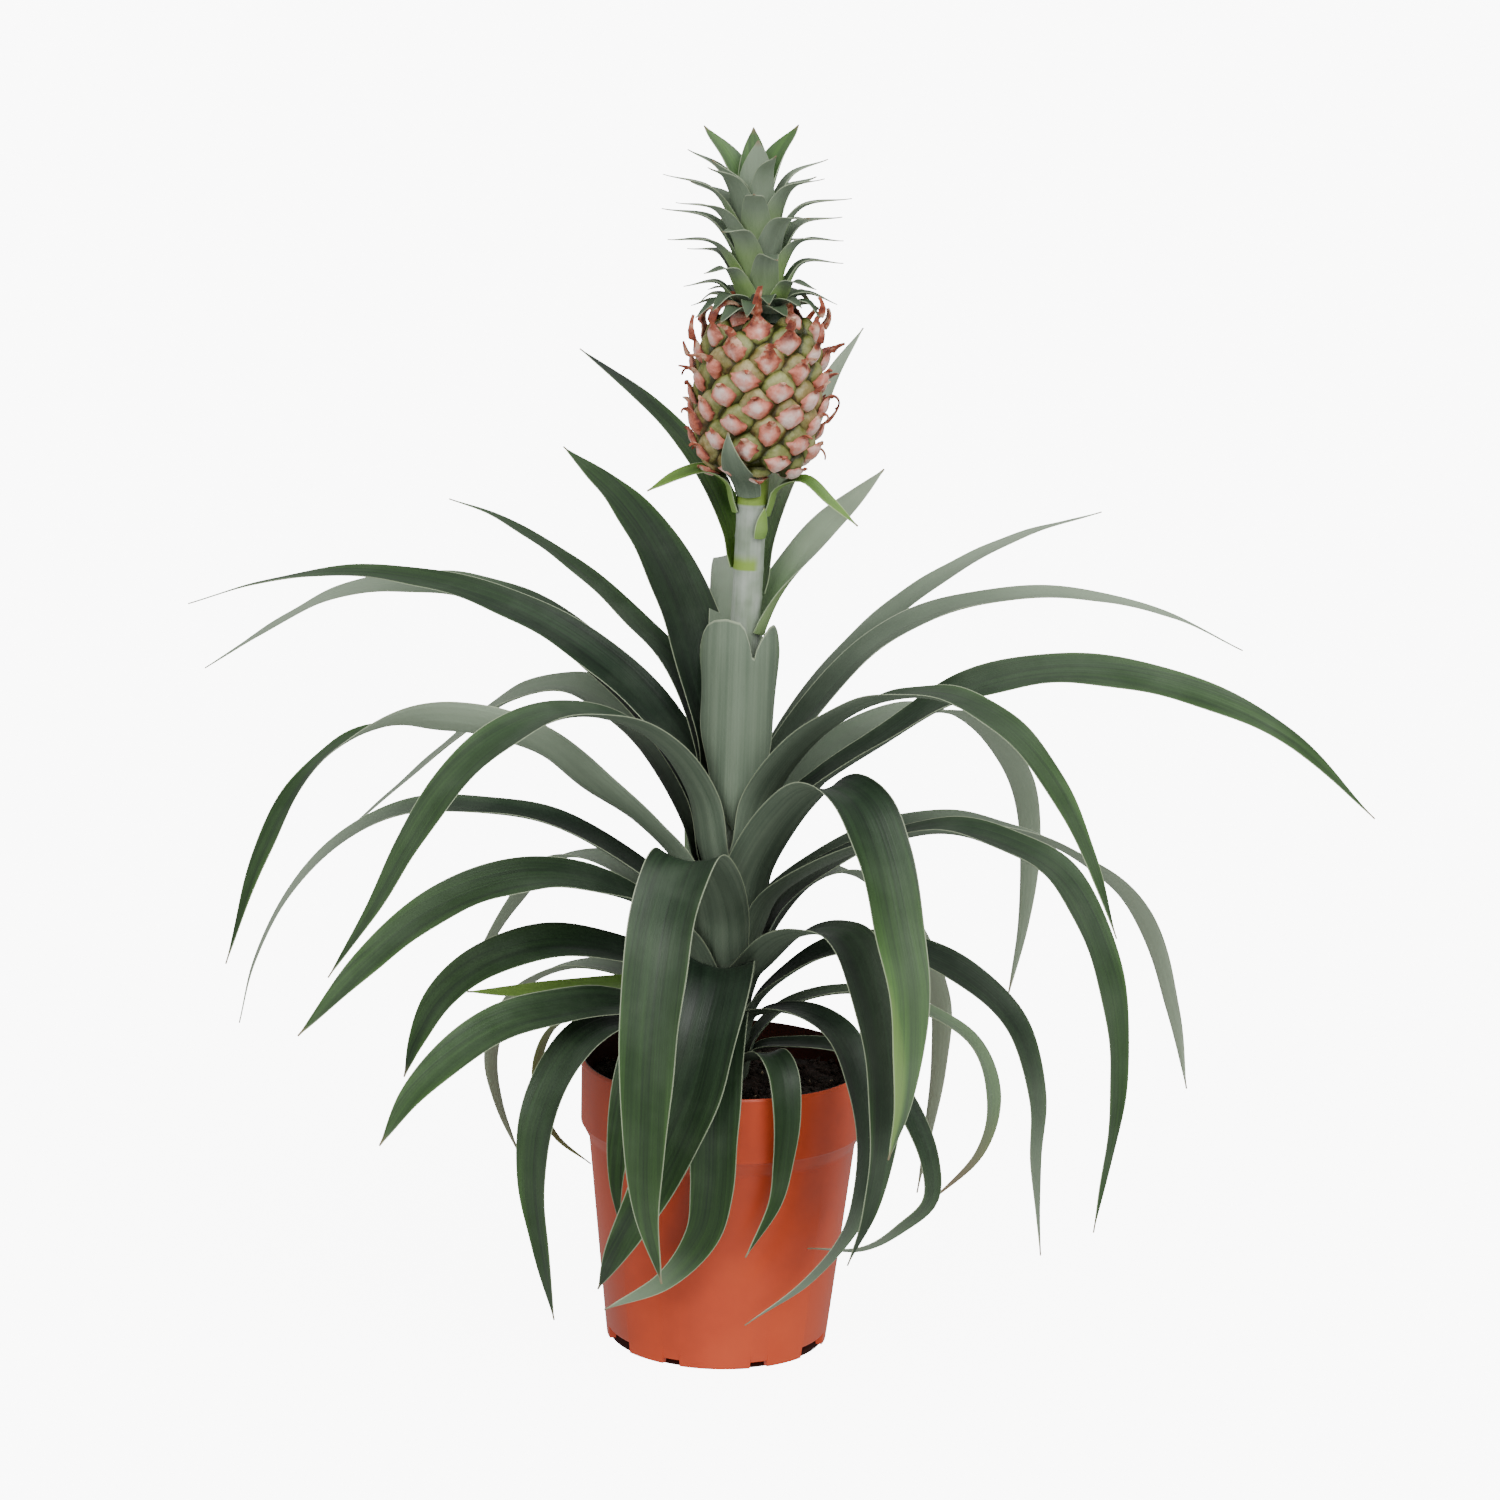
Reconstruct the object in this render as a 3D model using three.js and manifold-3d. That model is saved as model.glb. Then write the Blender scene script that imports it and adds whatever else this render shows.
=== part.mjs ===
// Ornamental pineapple in its nursery pot, in millimetres.
// The origin is the middle of the pot's underside, +Z is up and -Y is the side that faces the viewer.
// Azimuths are in degrees about +Z: 0 is +X, 90 is the back, 180 the left and 270 the front.

import * as THREE from 'three';
import { mergeVertices } from 'three/addons/utils/BufferGeometryUtils.js';
import Module from 'manifold-3d';

const wasm = await Module();
wasm.setup();

// Driving dimensions of the pot, a moulded 12 cm nursery pot
const POT = {
  height: 121,
  rimRadius: 60,
  wall: 1.3,
  collarFoot: 93.5,
  coveFoot: 87,
  bodyTopRadius: 56.1,
  baseRadius: 46.6,
  floorLift: 5,
  floor: 1.4,
  discRadius: 31,
  moatSlope: 2,
  footWidth: 2.6,
  sides: 36,
};
const WIDE_NOTCH = { azimuths: [28, 152, 208, 332], width: 19, height: 4.4 };
const NARROW_NOTCH = { azimuths: [67, 113, 247, 293], width: 7.5, height: 2.6 };
const DRAIN = { count: 8, radius: 3, circle: 37 };

// Driving dimensions of the soil and the stem
const CLEAR = 0.3;
const SOIL_TOP = 108.5;
const SOIL_RELIEF = 0.8;
const STEM_FOOT = 70;
const STEM_TOP = 371;
const STEM_PROFILE = [
  [8.7, STEM_FOOT], [9, 84], [9, 236], [7.9, 248], [6.5, 260], [6.2, 290],
  [6.1, 354], [6.6, 356.5], [6.4, 359], [6.5, 367], [8.6, STEM_TOP],
];
const STEM_SIDES = 16;
const LEAN = { offset: -1.4, perMillimetre: 0.0224, from: 105 };

// Driving dimensions of the blades
const BLADE = {
  across: 4,
  edge: 0.66,
  rib: 0.4,
  stationLength: 31,
  rootCrowding: 1.2,
  sheathSlope: 0.33,
  sheathRise: 12,
  rootGap: 0.75,
  rootWidth: 0.85,
  swell: 0.28,
  channel: 0.9,
  tipWidth: 0.8,
};

// Driving dimensions of the fruit and its crown of leaves
const FRUIT = {
  bottom: STEM_TOP + CLEAR,
  top: 431.5,
  radius: 23.6,
  squareness: 2.7,
  endRadius: 12,
  eyes: 76,
};
const CROWN = {
  bottom: FRUIT.top + CLEAR,
  top: 508,
  leaves: 34,
  leafZone: 32,
  footRadius: 13,
  coreRadius: 10,
  coreTop: 480,
  tilt: -0.11,
};
const GOLDEN_ANGLE = 180 * (3 - Math.sqrt(5));

const FINISH = {
  terracotta: { color: 0xbf5433, roughness: 0.45, metalness: 0 },
  soil: { color: 0x2a1d17, roughness: 1, metalness: 0 },
  stem: { color: 0x93a288, roughness: 0.7, metalness: 0 },
  leaf: { color: 0x47664a, roughness: 0.5, metalness: 0 },
  scapeLeaf: { color: 0x5d7f49, roughness: 0.55, metalness: 0 },
  fruit: { color: 0xc98d74, roughness: 0.7, metalness: 0 },
  crown: { color: 0x66806c, roughness: 0.6, metalness: 0 },
};

// Each rosette leaf is a row: its name, azimuth, the height of its root on the stem, its widest width,
// the points that its midrib passes as [reach from the stem's axis, height, sideways swing], and options.
// The rows run from the lowest leaf to the highest.
const ROSETTE = [
  ['leaf_01', 294, 110.5, 16,
    [[34, 130], [51, 136], [62, 131], [67, 115], [65, 96], [63, 77, -2], [60, 54, -13]]],
  ['leaf_02', 160, 110.5, 16, [[34, 129], [54, 133], [74, 126], [82, 111], [82, 91], [74, 76], [58, 66]]],
  ['leaf_03', 350, 113.5, 13,
    [[30, 129], [50, 129], [64, 125], [79, 106], [89, 84], [90, 66], [79, 55, -6], [66, 50, -21],
      [46, 55, -42]], { roll: [0, 10, 45, 50, 50] }],
  ['leaf_04', 222, 115, 26,
    [[35, 139], [58, 145], [75, 141], [88, 129], [98, 109], [100, 87], [96, 58], [88, 24]]],
  ['leaf_05', 100, 116, 22,
    [[30, 140], [58, 145], [88, 133], [104, 104], [108, 70], [104, 42]], { root: 0.6 }],
  ['leaf_06', 12, 118, 13,
    [[28, 143], [56, 148], [90, 137], [109, 123], [118, 99], [113, 75], [93, 54]],
    { roll: [0, 0, 15, 50, 50] }],
  ['leaf_07', 215, 119.5, 25,
    [[30, 143], [57, 151], [83, 152], [108, 150], [132, 140], [151, 126], [165, 108]],
    { roll: [0, -20, -25] }],
  ['leaf_08', 148, 123.5, 21,
    [[28, 144], [55, 149], [76, 147], [97, 137], [111, 121], [118, 100], [114, 79], [103, 58]]],
  ['leaf_09', 268, 124, 25,
    [[29, 146], [50, 147], [62, 133], [67, 110], [68, 85], [66, 66, -3], [62, 44, -18], [60, 29, -43]]],
  ['leaf_10', 178, 127.5, 16,
    [[28, 150], [50, 150], [70, 148], [89, 146], [108, 145]], { roll: [0, -12, -40] }],
  ['leaf_11', 315, 128.5, 20,
    [[30, 148], [51, 150], [69, 144], [80, 126], [85, 98], [78, 68], [67, 44, -13], [56, 27, -38]]],
  ['leaf_12', 243, 132, 20, [[27, 153], [46, 158], [60, 149], [70, 130], [73, 107], [72, 84], [66, 63]]],
  ['leaf_13', 348, 134, 20,
    [[25, 158], [44, 171], [68, 175], [98, 167], [123, 146], [133, 116], [134, 87], [138, 48]],
    { roll: [0, 15, 25, 30, 20] }],
  ['leaf_14', 198, 136, 27,
    [[25, 159], [50, 169], [78, 173], [105, 166], [122, 153], [132, 136], [137, 121]],
    { roll: [0, -20, -25] }],
  ['leaf_15', 96, 137.5, 24,
    [[28, 168], [55, 184], [90, 180], [118, 155], [132, 115], [135, 75]], { root: 0.6 }],
  ['leaf_16', 260, 140.5, 30,
    [[21, 160, 2], [34, 169, 4], [47, 167, 6], [62, 153, 5], [72, 124], [78, 87, -14], [75, 58, -28],
      [58, 35, -39]], { across: 6 }],
  ['leaf_17', 140, 142, 22,
    [[25, 170], [50, 188], [80, 193], [104, 185], [120, 166], [138, 142], [150, 120]]],
  ['leaf_18', 309, 145, 28,
    [[21, 164], [40, 181], [61, 189], [77, 189], [89, 176], [98, 157], [104, 120], [98, 82], [85, 54]],
    { across: 6 }],
  ['leaf_19', 48, 149, 20,
    [[24, 175], [43, 188], [69, 190], [97, 177], [122, 151], [141, 118], [142, 90], [137, 59],
      [131, 32]]],
  ['leaf_20', 205, 149.5, 29,
    [[24, 179], [50, 196], [87, 205], [127, 197], [159, 176], [188, 148]], { roll: [0, -18, -32] }],
  ['leaf_21', 172, 155.5, 22,
    [[22, 186], [43, 202], [73, 217], [99, 221], [136, 219], [164, 205], [189, 177], [203, 147],
      [209, 121]], { roll: [0, -20] }],
  ['leaf_22', 27, 155, 26,
    [[23, 185], [48, 201], [78, 212], [106, 214], [134, 208], [166, 194], [201, 166], [221, 121],
      [231, 82]]],
  ['leaf_23', 253, 159, 31,
    [[18, 186], [37, 208], [61, 219], [84, 203], [98, 165], [102, 125], [99, 85], [92, 52, 5]],
    { taper: 3.4, across: 6 }],
  ['leaf_24', 338, 165, 29,
    [[21, 193], [41, 209], [70, 223], [96, 230], [120, 227], [144, 216], [165, 179], [172, 132],
      [165, 70]], { roll: [0, 0, 15, 15] }],
  ['leaf_25', 96, 164, 24,
    [[24, 200], [48, 220], [90, 225], [130, 203], [155, 163], [165, 120]], { root: 0.7 }],
  ['leaf_26', 188, 168, 28,
    [[21, 203], [38, 222], [58, 237], [79, 254], [104, 263], [135, 265], [161, 256], [179, 238],
      [194, 209], [208, 163]], { roll: [0, 15, 35, 45, 0, -35, -35] }],
  ['leaf_27', 308, 172.5, 33,
    [[18, 203], [39, 233], [61, 249], [82, 246], [96, 229], [108, 201], [116, 178], [118, 154],
      [116, 129], [109, 106]], { taper: 3.4, across: 6 }],
  ['leaf_28', 52, 178, 26,
    [[22, 211], [47, 230], [80, 244], [115, 250], [153, 246], [184, 230], [209, 206], [219, 176],
      [217, 138], [207, 104]]],
  ['leaf_29', 140, 183, 26,
    [[21, 220], [46, 249], [88, 265], [124, 256], [155, 235], [186, 211], [226, 179]],
    { roll: [0, -6, -18, -8] }],
  ['leaf_30', 354, 186, 29,
    [[19, 223], [36, 241], [60, 259], [93, 282], [135, 293], [184, 288], [226, 271], [263, 239]],
    { roll: [0, 5, 22, 32, 28] }],
  ['leaf_31', 95, 190, 24,
    [[20.5, 227], [45, 254], [80, 269], [120, 257], [150, 220], [168, 168]], { root: 0.5 }],
  ['leaf_32', 145, 195, 23,
    [[19, 230], [41, 258], [71, 279], [105, 296], [147, 302], [174, 300], [212, 292], [245, 276],
      [294, 246]], { roll: [0, -15, -18, -10] }],
  ['leaf_33', 212, 200, 30,
    [[19.6, 235], [35, 257], [56, 270], [84, 275], [111, 267], [133, 251], [151, 228], [168, 202],
      [186, 178]], { roll: [0, 0, -10, -10], across: 6, root: 0.8 }],
  ['leaf_34', 322, 204.5, 30,
    [[18, 235], [33, 257], [53, 274], [76, 286], [105, 291], [133, 284], [156, 267], [176, 240],
      [191, 209]], { across: 6 }],
  ['leaf_35', 158, 206, 28,
    [[19.4, 240], [34, 260], [56, 279], [95, 299], [137, 309], [182, 310], [225, 301], [258, 289]],
    { roll: [0, -15, -10, 0], root: 0.78 }],
  ['leaf_36', 27, 210.5, 22,
    [[19, 244], [38, 270], [65, 294], [99, 307], [152, 310], [207, 298], [246, 280]],
    { roll: [0, 0, 5, 15, 15] }],
  ['leaf_37', 135, 212, 17, [[17.6, 248], [35, 279], [61, 296], [101, 315], [153, 330], [183, 333]]],
  ['leaf_38', 50, 200.5, 17,
    [[23, 239], [46, 264], [78, 286], [116, 304], [185, 321], [251, 326]], { root: 0.75 }],
  ['leaf_39', 121, 221.5, 29,
    [[16, 255], [26.5, 277], [40, 298], [62, 320], [99, 341], [156, 357]], { roll: [0, -12, -12] }],
  ['leaf_40', 269, 222, 50,
    [[14.5, 250], [16, 275], [16.6, 296], [15.4, 311]],
    { root: 0.45, across: 8, taper: 40, channel: 0.6,
      lobes: [0.84, 0.95, 1, 1, 1, 0.79, 0.93, 0.98, 0.86] }],
  ['leaf_41', 93, 229.5, 23,
    [[13.4, 262], [24, 287], [43, 308], [80, 318], [130, 311], [170, 289]], { sheath: 6, root: 0.75 }],
];

// The leaves and bracts of the fruit's bare stem, written as the rosette leaves are
const SCAPE_LEAVES = [
  ['stem_leaf_1', 15, 302, 21,
    [[14, 319], [22, 332], [33, 346], [45, 358], [57, 370]], { sheath: 6, taper: 2.2, roll: [0, 35] }],
  ['stem_leaf_2', 62, 318, 15,
    [[11.5, 338], [20, 353], [33, 367], [49, 382], [73, 404], [97, 419]], { sheath: 6 }],
  ['stem_leaf_3', 130, 329, 16, [[11, 342], [19.5, 355], [38, 372], [74, 391], [116, 406]], { sheath: 5 }],
  ['stem_leaf_4', 340, 352, 8, [[11, 363], [22, 368], [34, 360], [46, 351]], { sheath: 5, roll: [0, 45] }],
  ['stem_leaf_5', 187, 353, 10,
    [[11, 365], [19, 370], [30, 368], [43, 361]], { sheath: 5, roll: [0, -45] }],
  ['stem_leaf_6', 252, 360, 11, [[12, 366], [24, 373], [32, 382], [34, 390]], { sheath: 2 }],
  ['stem_leaf_7', 305, 343, 7, [[8.6, 350], [9.4, 356]], { sheath: 3 }],
];

/** Degrees to radians. */
const radians = THREE.MathUtils.degToRad;

/** Where the leaning stem's axis stands in X at a height. */
const stemAxis = (z) => LEAN.offset + LEAN.perMillimetre * (z - LEAN.from);

/** The stem's radius at a height, between the points of its profile. */
function stemRadius(z) {
  const above = STEM_PROFILE.findIndex(([, height]) => height >= z);
  const [r0, z0] = STEM_PROFILE[above - 1];
  const [r1, z1] = STEM_PROFILE[above];
  return r0 + ((r1 - r0) * (z - z0)) / (z1 - z0);
}

/** Merge the shared vertices of a mesh, drop its collapsed triangles and turn its faces outwards. */
function closed(geometry) {
  const bare = new THREE.BufferGeometry();
  bare.setAttribute('position', geometry.getAttribute('position').clone());
  bare.setIndex(geometry.getIndex());
  const merged = mergeVertices(bare, 1e-3);
  const index = merged.getIndex().array;
  const kept = [];
  for (let i = 0; i < index.length; i += 3) {
    const [a, b, c] = index.slice(i, i + 3);
    if (a !== b && b !== c && c !== a) kept.push(a, b, c);
  }
  merged.setIndex(signedVolume(merged, kept) < 0 ? kept.reverse() : kept);
  return merged;
}

/** Six times the volume that a triangle list encloses, negative where its faces point inwards. */
function signedVolume(geometry, index) {
  const position = geometry.getAttribute('position');
  const [a, b, c] = [new THREE.Vector3(), new THREE.Vector3(), new THREE.Vector3()];
  let sum = 0;
  for (let i = 0; i < index.length; i += 3) {
    a.fromBufferAttribute(position, index[i]);
    b.fromBufferAttribute(position, index[i + 1]);
    c.fromBufferAttribute(position, index[i + 2]);
    sum += a.dot(b.cross(c));
  }
  return sum;
}

/** A closed mesh as a solid that can be joined and cut. */
function solid(geometry) {
  const mesh = closed(geometry);
  return new wasm.Manifold(new wasm.Mesh({
    numProp: 3,
    vertProperties: new Float32Array(mesh.getAttribute('position').array),
    triVerts: new Uint32Array(mesh.getIndex().array),
  }));
}

/** A joined or cut solid as a mesh again. */
function meshOf(manifold) {
  const { vertProperties, triVerts } = manifold.getMesh();
  const geometry = new THREE.BufferGeometry();
  geometry.setAttribute('position', new THREE.BufferAttribute(new Float32Array(vertProperties), 3));
  geometry.setIndex(new THREE.BufferAttribute(new Uint32Array(triVerts), 1));
  return geometry;
}

/** The biggest body of a joined piece, without the specks that a cut can leave beside it. */
function mainBody(manifold) {
  return manifold.decompose().reduce((best, body) => (body.volume() > best.volume() ? body : best));
}

/** A profile of [radius, height] points turned about +Z. */
function turned(profile, sides) {
  const points = profile.map(([radius, height]) => new THREE.Vector2(radius, height));
  return closed(new THREE.LatheGeometry(points, sides).rotateX(Math.PI / 2));
}

/** Shear a mesh along X, so that what was built on the Z axis stands on the leaning stem. */
function leaning(geometry) {
  const position = geometry.getAttribute('position');
  for (let i = 0; i < position.count; i += 1) {
    position.setX(i, position.getX(i) + stemAxis(position.getZ(i)));
  }
  return geometry;
}

/** A closed mesh over a grid of rings, each a closed loop of points, with its two ends capped. */
function ringed(rings) {
  const around = rings[0].length;
  const index = [];
  for (let k = 0; k + 1 < rings.length; k += 1) {
    for (let j = 0; j < around; j += 1) {
      const [a, b] = [k * around + j, k * around + ((j + 1) % around)];
      index.push(a, b, b + around, a, b + around, a + around);
    }
  }
  return { geometry: new THREE.BufferGeometry().setFromPoints(rings.flat()), index };
}

/**
 * A blade from its midrib, width and fold. Its section is an arc, hollow on the upper face: at the root
 * it follows the stem, and further out it opens into a shallow channel. The two faces are split into
 * triangles alike.
 */
function blade({ curve, side, sections, across, half, hollow, thickness, roll, length }) {
  const columns = across + 1;
  const [upper, lower] = [[], []];
  for (let k = 0; k <= sections; k += 1) {
    const row = [[], []];
    for (let j = 0; j <= across; j += 1) {
      const q = (2 * j) / across - 1;
      const s = (k / sections) ** BLADE.rootCrowding * length(q);
      const along = curve.getTangentAt(s);
      const b = side.clone().addScaledVector(along, -side.dot(along)).normalize();
      b.applyAxisAngle(along, radians(roll(s)));
      const n = along.clone().cross(b);
      const radius = hollow(s);
      const angle = (q * half(s)) / radius;
      const middle = curve.getPointAt(s)
        .addScaledVector(b, radius * Math.sin(angle))
        .addScaledVector(n, radius * (1 - Math.cos(angle)));
      const normal = n.multiplyScalar(Math.cos(angle)).addScaledVector(b, -Math.sin(angle));
      row[0].push(middle.clone().addScaledVector(normal, thickness(s, q) / 2));
      row[1].push(middle.clone().addScaledVector(normal, -thickness(s, q) / 2));
    }
    upper.push(...row[0]);
    lower.push(...row[1]);
  }
  const under = upper.length;
  const index = [];
  const quad = (a, b, c, d) => index.push(a, b, c, a, c, d);
  for (let k = 0; k < sections; k += 1) {
    const start = k * columns;
    for (let j = 0; j < across; j += 1) {
      const [a, b, c, d] = [start + j, start + j + 1, start + columns + j + 1, start + columns + j];
      quad(a, b, c, d);
      index.push(under + a, under + c, under + b, under + a, under + d, under + c);
    }
    quad(start, start + columns, under + start + columns, under + start);
    const edge = start + across;
    quad(edge, under + edge, under + edge + columns, edge + columns);
  }
  for (const [start, turn] of [[0, 1], [sections * columns, -1]]) {
    for (let j = 0; j < across; j += 1) {
      const loop = [start + j, under + start + j, under + start + j + 1, start + j + 1];
      quad(...(turn > 0 ? loop : loop.reverse()));
    }
  }
  const geometry = new THREE.BufferGeometry().setFromPoints([...upper, ...lower]);
  geometry.setIndex(index);
  return closed(geometry);
}

/** A value read between stops that are spread evenly from 0 to 1, easing at each stop. */
function eased(stops, s) {
  if (stops.length === 1) return stops[0];
  const place = Math.min(s, 1) * (stops.length - 1);
  const k = Math.min(Math.floor(place), stops.length - 2);
  const t = (1 - Math.cos(Math.PI * (place - k))) / 2;
  return stops[k] * (1 - t) + stops[k + 1] * t;
}

/**
 * One clasping leaf. Its root stands CLEAR of the stem, its sheath rises close to the stem, and its
 * midrib then passes the given points as a centripetal Catmull-Rom curve.
 */
function leaf(azimuth, node, width, points, options = {}) {
  const { roll = [0], taper = 2.6, across = BLADE.across, sheath = BLADE.sheathRise } = options;
  const { root = BLADE.rootWidth, channel = BLADE.channel, lobes = [1] } = options;
  const start = stemRadius(node) + BLADE.rootGap + (BLADE.edge + BLADE.rib) / 2;
  const out = new THREE.Vector3(Math.cos(radians(azimuth)), Math.sin(radians(azimuth)), 0);
  const side = new THREE.Vector3(-out.y, out.x, 0);
  const foot = new THREE.Vector3(stemAxis(node), 0, 0);
  const ribPoints = [[start, node], [start + BLADE.sheathSlope * sheath, node + sheath], ...points];
  const curve = new THREE.CatmullRomCurve3(ribPoints.map(([reach, height, swing = 0]) => foot.clone()
    .addScaledVector(out, reach).addScaledVector(side, swing).setZ(height)), false, 'centripetal');
  const reachAt = (s) => curve.getPointAt(s).sub(foot).dot(out);
  const widthAt = (s) => {
    const swelling = root + (1 - root) * Math.sin((Math.PI / 2) * Math.min(1, s / BLADE.swell));
    return Math.max(BLADE.tipWidth, width * swelling * (1 - s ** taper));
  };
  const sections = THREE.MathUtils.clamp(Math.round(curve.getLength() / BLADE.stationLength), 4, 10);
  return blade({
    curve,
    side,
    sections,
    across,
    half: (s) => widthAt(s) / 2,
    hollow: (s) => (Math.abs(reachAt(s)) ** -4 + (channel * width) ** -4) ** -0.25,
    thickness: (s, q) => BLADE.edge + BLADE.rib * (1 - q * q) * (1 - s),
    roll: (s) => eased(roll, s),
    length: (q) => lobes[Math.round(((q + 1) / 2) * (lobes.length - 1))],
  });
}

/** The pot: a thin tapered cup with a deep collar, a lifted drain ring and notches through its foot. */
function pot() {
  const { height, rimRadius, wall, collarFoot, coveFoot, bodyTopRadius, baseRadius } = POT;
  const { floorLift, floor, discRadius, moatSlope, footWidth } = POT;
  const foot = baseRadius - footWidth;
  const wallAt = (z) => baseRadius + ((bodyTopRadius - baseRadius) * z) / coveFoot;
  const cup = solid(turned([
    [0, 0], [discRadius, 0], [discRadius + moatSlope, floorLift], [foot - 0.6, floorLift], [foot, 0],
    [baseRadius, 0], [bodyTopRadius, coveFoot], [rimRadius - 0.9, collarFoot - 0.8],
    [rimRadius - 0.3, collarFoot], [rimRadius, height - 1], [rimRadius - 0.6, height],
    [rimRadius - wall, height],
    [rimRadius - wall - 0.4, collarFoot + 1], [bodyTopRadius - wall, coveFoot + 1],
    [wallAt(floorLift + floor) - wall, floorLift + floor], [discRadius, floorLift + floor],
    [discRadius - moatSlope, floor], [0, floor],
  ], POT.sides));
  const cuts = [];
  for (const { azimuths, width, height: notchHeight } of [WIDE_NOTCH, NARROW_NOTCH]) {
    for (const azimuth of azimuths) {
      const block = new THREE.BoxGeometry(2 * footWidth + 4, width, 2 * notchHeight);
      block.translate(baseRadius - footWidth / 2, 0, 0).rotateZ(radians(azimuth));
      cuts.push(solid(block));
    }
  }
  for (let k = 0; k < DRAIN.count; k += 1) {
    const drain = new THREE.CylinderGeometry(DRAIN.radius, DRAIN.radius, 4 * floor, 10);
    drain.rotateX(Math.PI / 2).translate(DRAIN.circle, 0, floorLift + floor / 2);
    drain.rotateZ(radians((360 * k) / DRAIN.count));
    cuts.push(solid(drain));
  }
  return meshOf(cuts.reduce((body, cut) => body.subtract(cut), cup));
}

/** The soil that fills the pot, with a gently lumpy top and a plain hole that the stem stands in. */
function soil() {
  const { wall, coveFoot, bodyTopRadius, baseRadius, floorLift, floor, collarFoot, rimRadius } = POT;
  const gap = wall + CLEAR;
  const low = floorLift + floor + CLEAR;
  const lowRadius = baseRadius + ((bodyTopRadius - baseRadius) * low) / coveFoot - gap;
  const rings = [50, 40, 30, 20, 11].map((radius) => [radius, SOIL_TOP]);
  const geometry = turned([
    [0, low], [lowRadius, low], [bodyTopRadius - gap - 0.1, coveFoot + 1.6],
    [rimRadius - gap - 0.7, collarFoot + 2.4], [rimRadius - gap - 0.4, SOIL_TOP - 1.5],
    ...rings, [0, SOIL_TOP],
  ], POT.sides / 2);
  const position = geometry.getAttribute('position');
  for (let i = 0; i < position.count; i += 1) {
    const [x, y, z] = [position.getX(i), position.getY(i), position.getZ(i)];
    const lump = Math.sin(x / 6.1 + 0.7) * Math.cos(y / 7.3) + 0.6 * Math.sin((x - y) / 4.3);
    if (z > SOIL_TOP - 1) position.setZ(i, z + SOIL_RELIEF * lump);
  }
  const holeRadius = STEM_PROFILE[1][0] + CLEAR;
  const hole = new THREE.CylinderGeometry(holeRadius, holeRadius, SOIL_TOP, STEM_SIDES);
  hole.rotateX(Math.PI / 2).translate(0, 0, STEM_FOOT - CLEAR + SOIL_TOP / 2);
  return meshOf(solid(geometry).subtract(solid(leaning(hole))));
}

/** The stem: the thick rosette stem, then the slim bare stem that carries the fruit. */
function stem() {
  return leaning(turned([[0, STEM_FOOT], ...STEM_PROFILE, [0, STEM_TOP]], STEM_SIDES));
}

/** The fruit's barrel: its radius at a height. */
function fruitRadius(z) {
  const middle = (FRUIT.bottom + FRUIT.top) / 2;
  const t = Math.min(1, Math.abs(z - middle) / (FRUIT.top - middle));
  const swell = (1 - t ** FRUIT.squareness) ** (1 / FRUIT.squareness);
  return FRUIT.endRadius + (FRUIT.radius - FRUIT.endRadius) * swell;
}

/** The eyes' heights, so that each eye covers the same area of the barrel. */
function eyeHeights() {
  const steps = 400;
  const area = [0];
  const heights = [FRUIT.bottom];
  for (let i = 1; i <= steps; i += 1) {
    const [z0, z1] = [i - 1, i].map((k) => FRUIT.bottom + ((FRUIT.top - FRUIT.bottom) * k) / steps);
    const [r0, r1] = [fruitRadius(z0), fruitRadius(z1)];
    area.push(area[i - 1] + ((r0 + r1) / 2) * Math.hypot(r1 - r0, z1 - z0));
    heights.push(z1);
  }
  return Array.from({ length: FRUIT.eyes }, (_, k) => {
    const wanted = (area[steps] * (k + 0.5)) / FRUIT.eyes;
    return heights[area.findIndex((value) => value >= wanted)];
  });
}

/**
 * One eye with its bract in its own frame, +Z out of the fruit and +Y up it: a broad keeled scale whose
 * point stands out from the fruit, the more the higher it sits.
 */
function eye(scale, curl) {
  const stations = [
    { y: -6, z: -1.6, half: 3.2, depth: 1 },
    { y: -1, z: 2.2, half: 4.9, depth: 1.7 },
    { y: 7.4 - curl, z: 3 + 1.7 * curl, half: 0.4, depth: 0.5 },
  ];
  const rings = stations.map(({ y, z, half, depth }) => {
    const corners = [[-half, -depth / 2], [half, -depth / 2], [0, depth]];
    return corners.map(([x, lift]) => new THREE.Vector3(x * scale, y * scale, z * scale + lift));
  });
  const { geometry, index } = ringed(rings);
  geometry.setIndex([...index, 0, 2, 1, 6, 7, 8]);
  return geometry;
}

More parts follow.
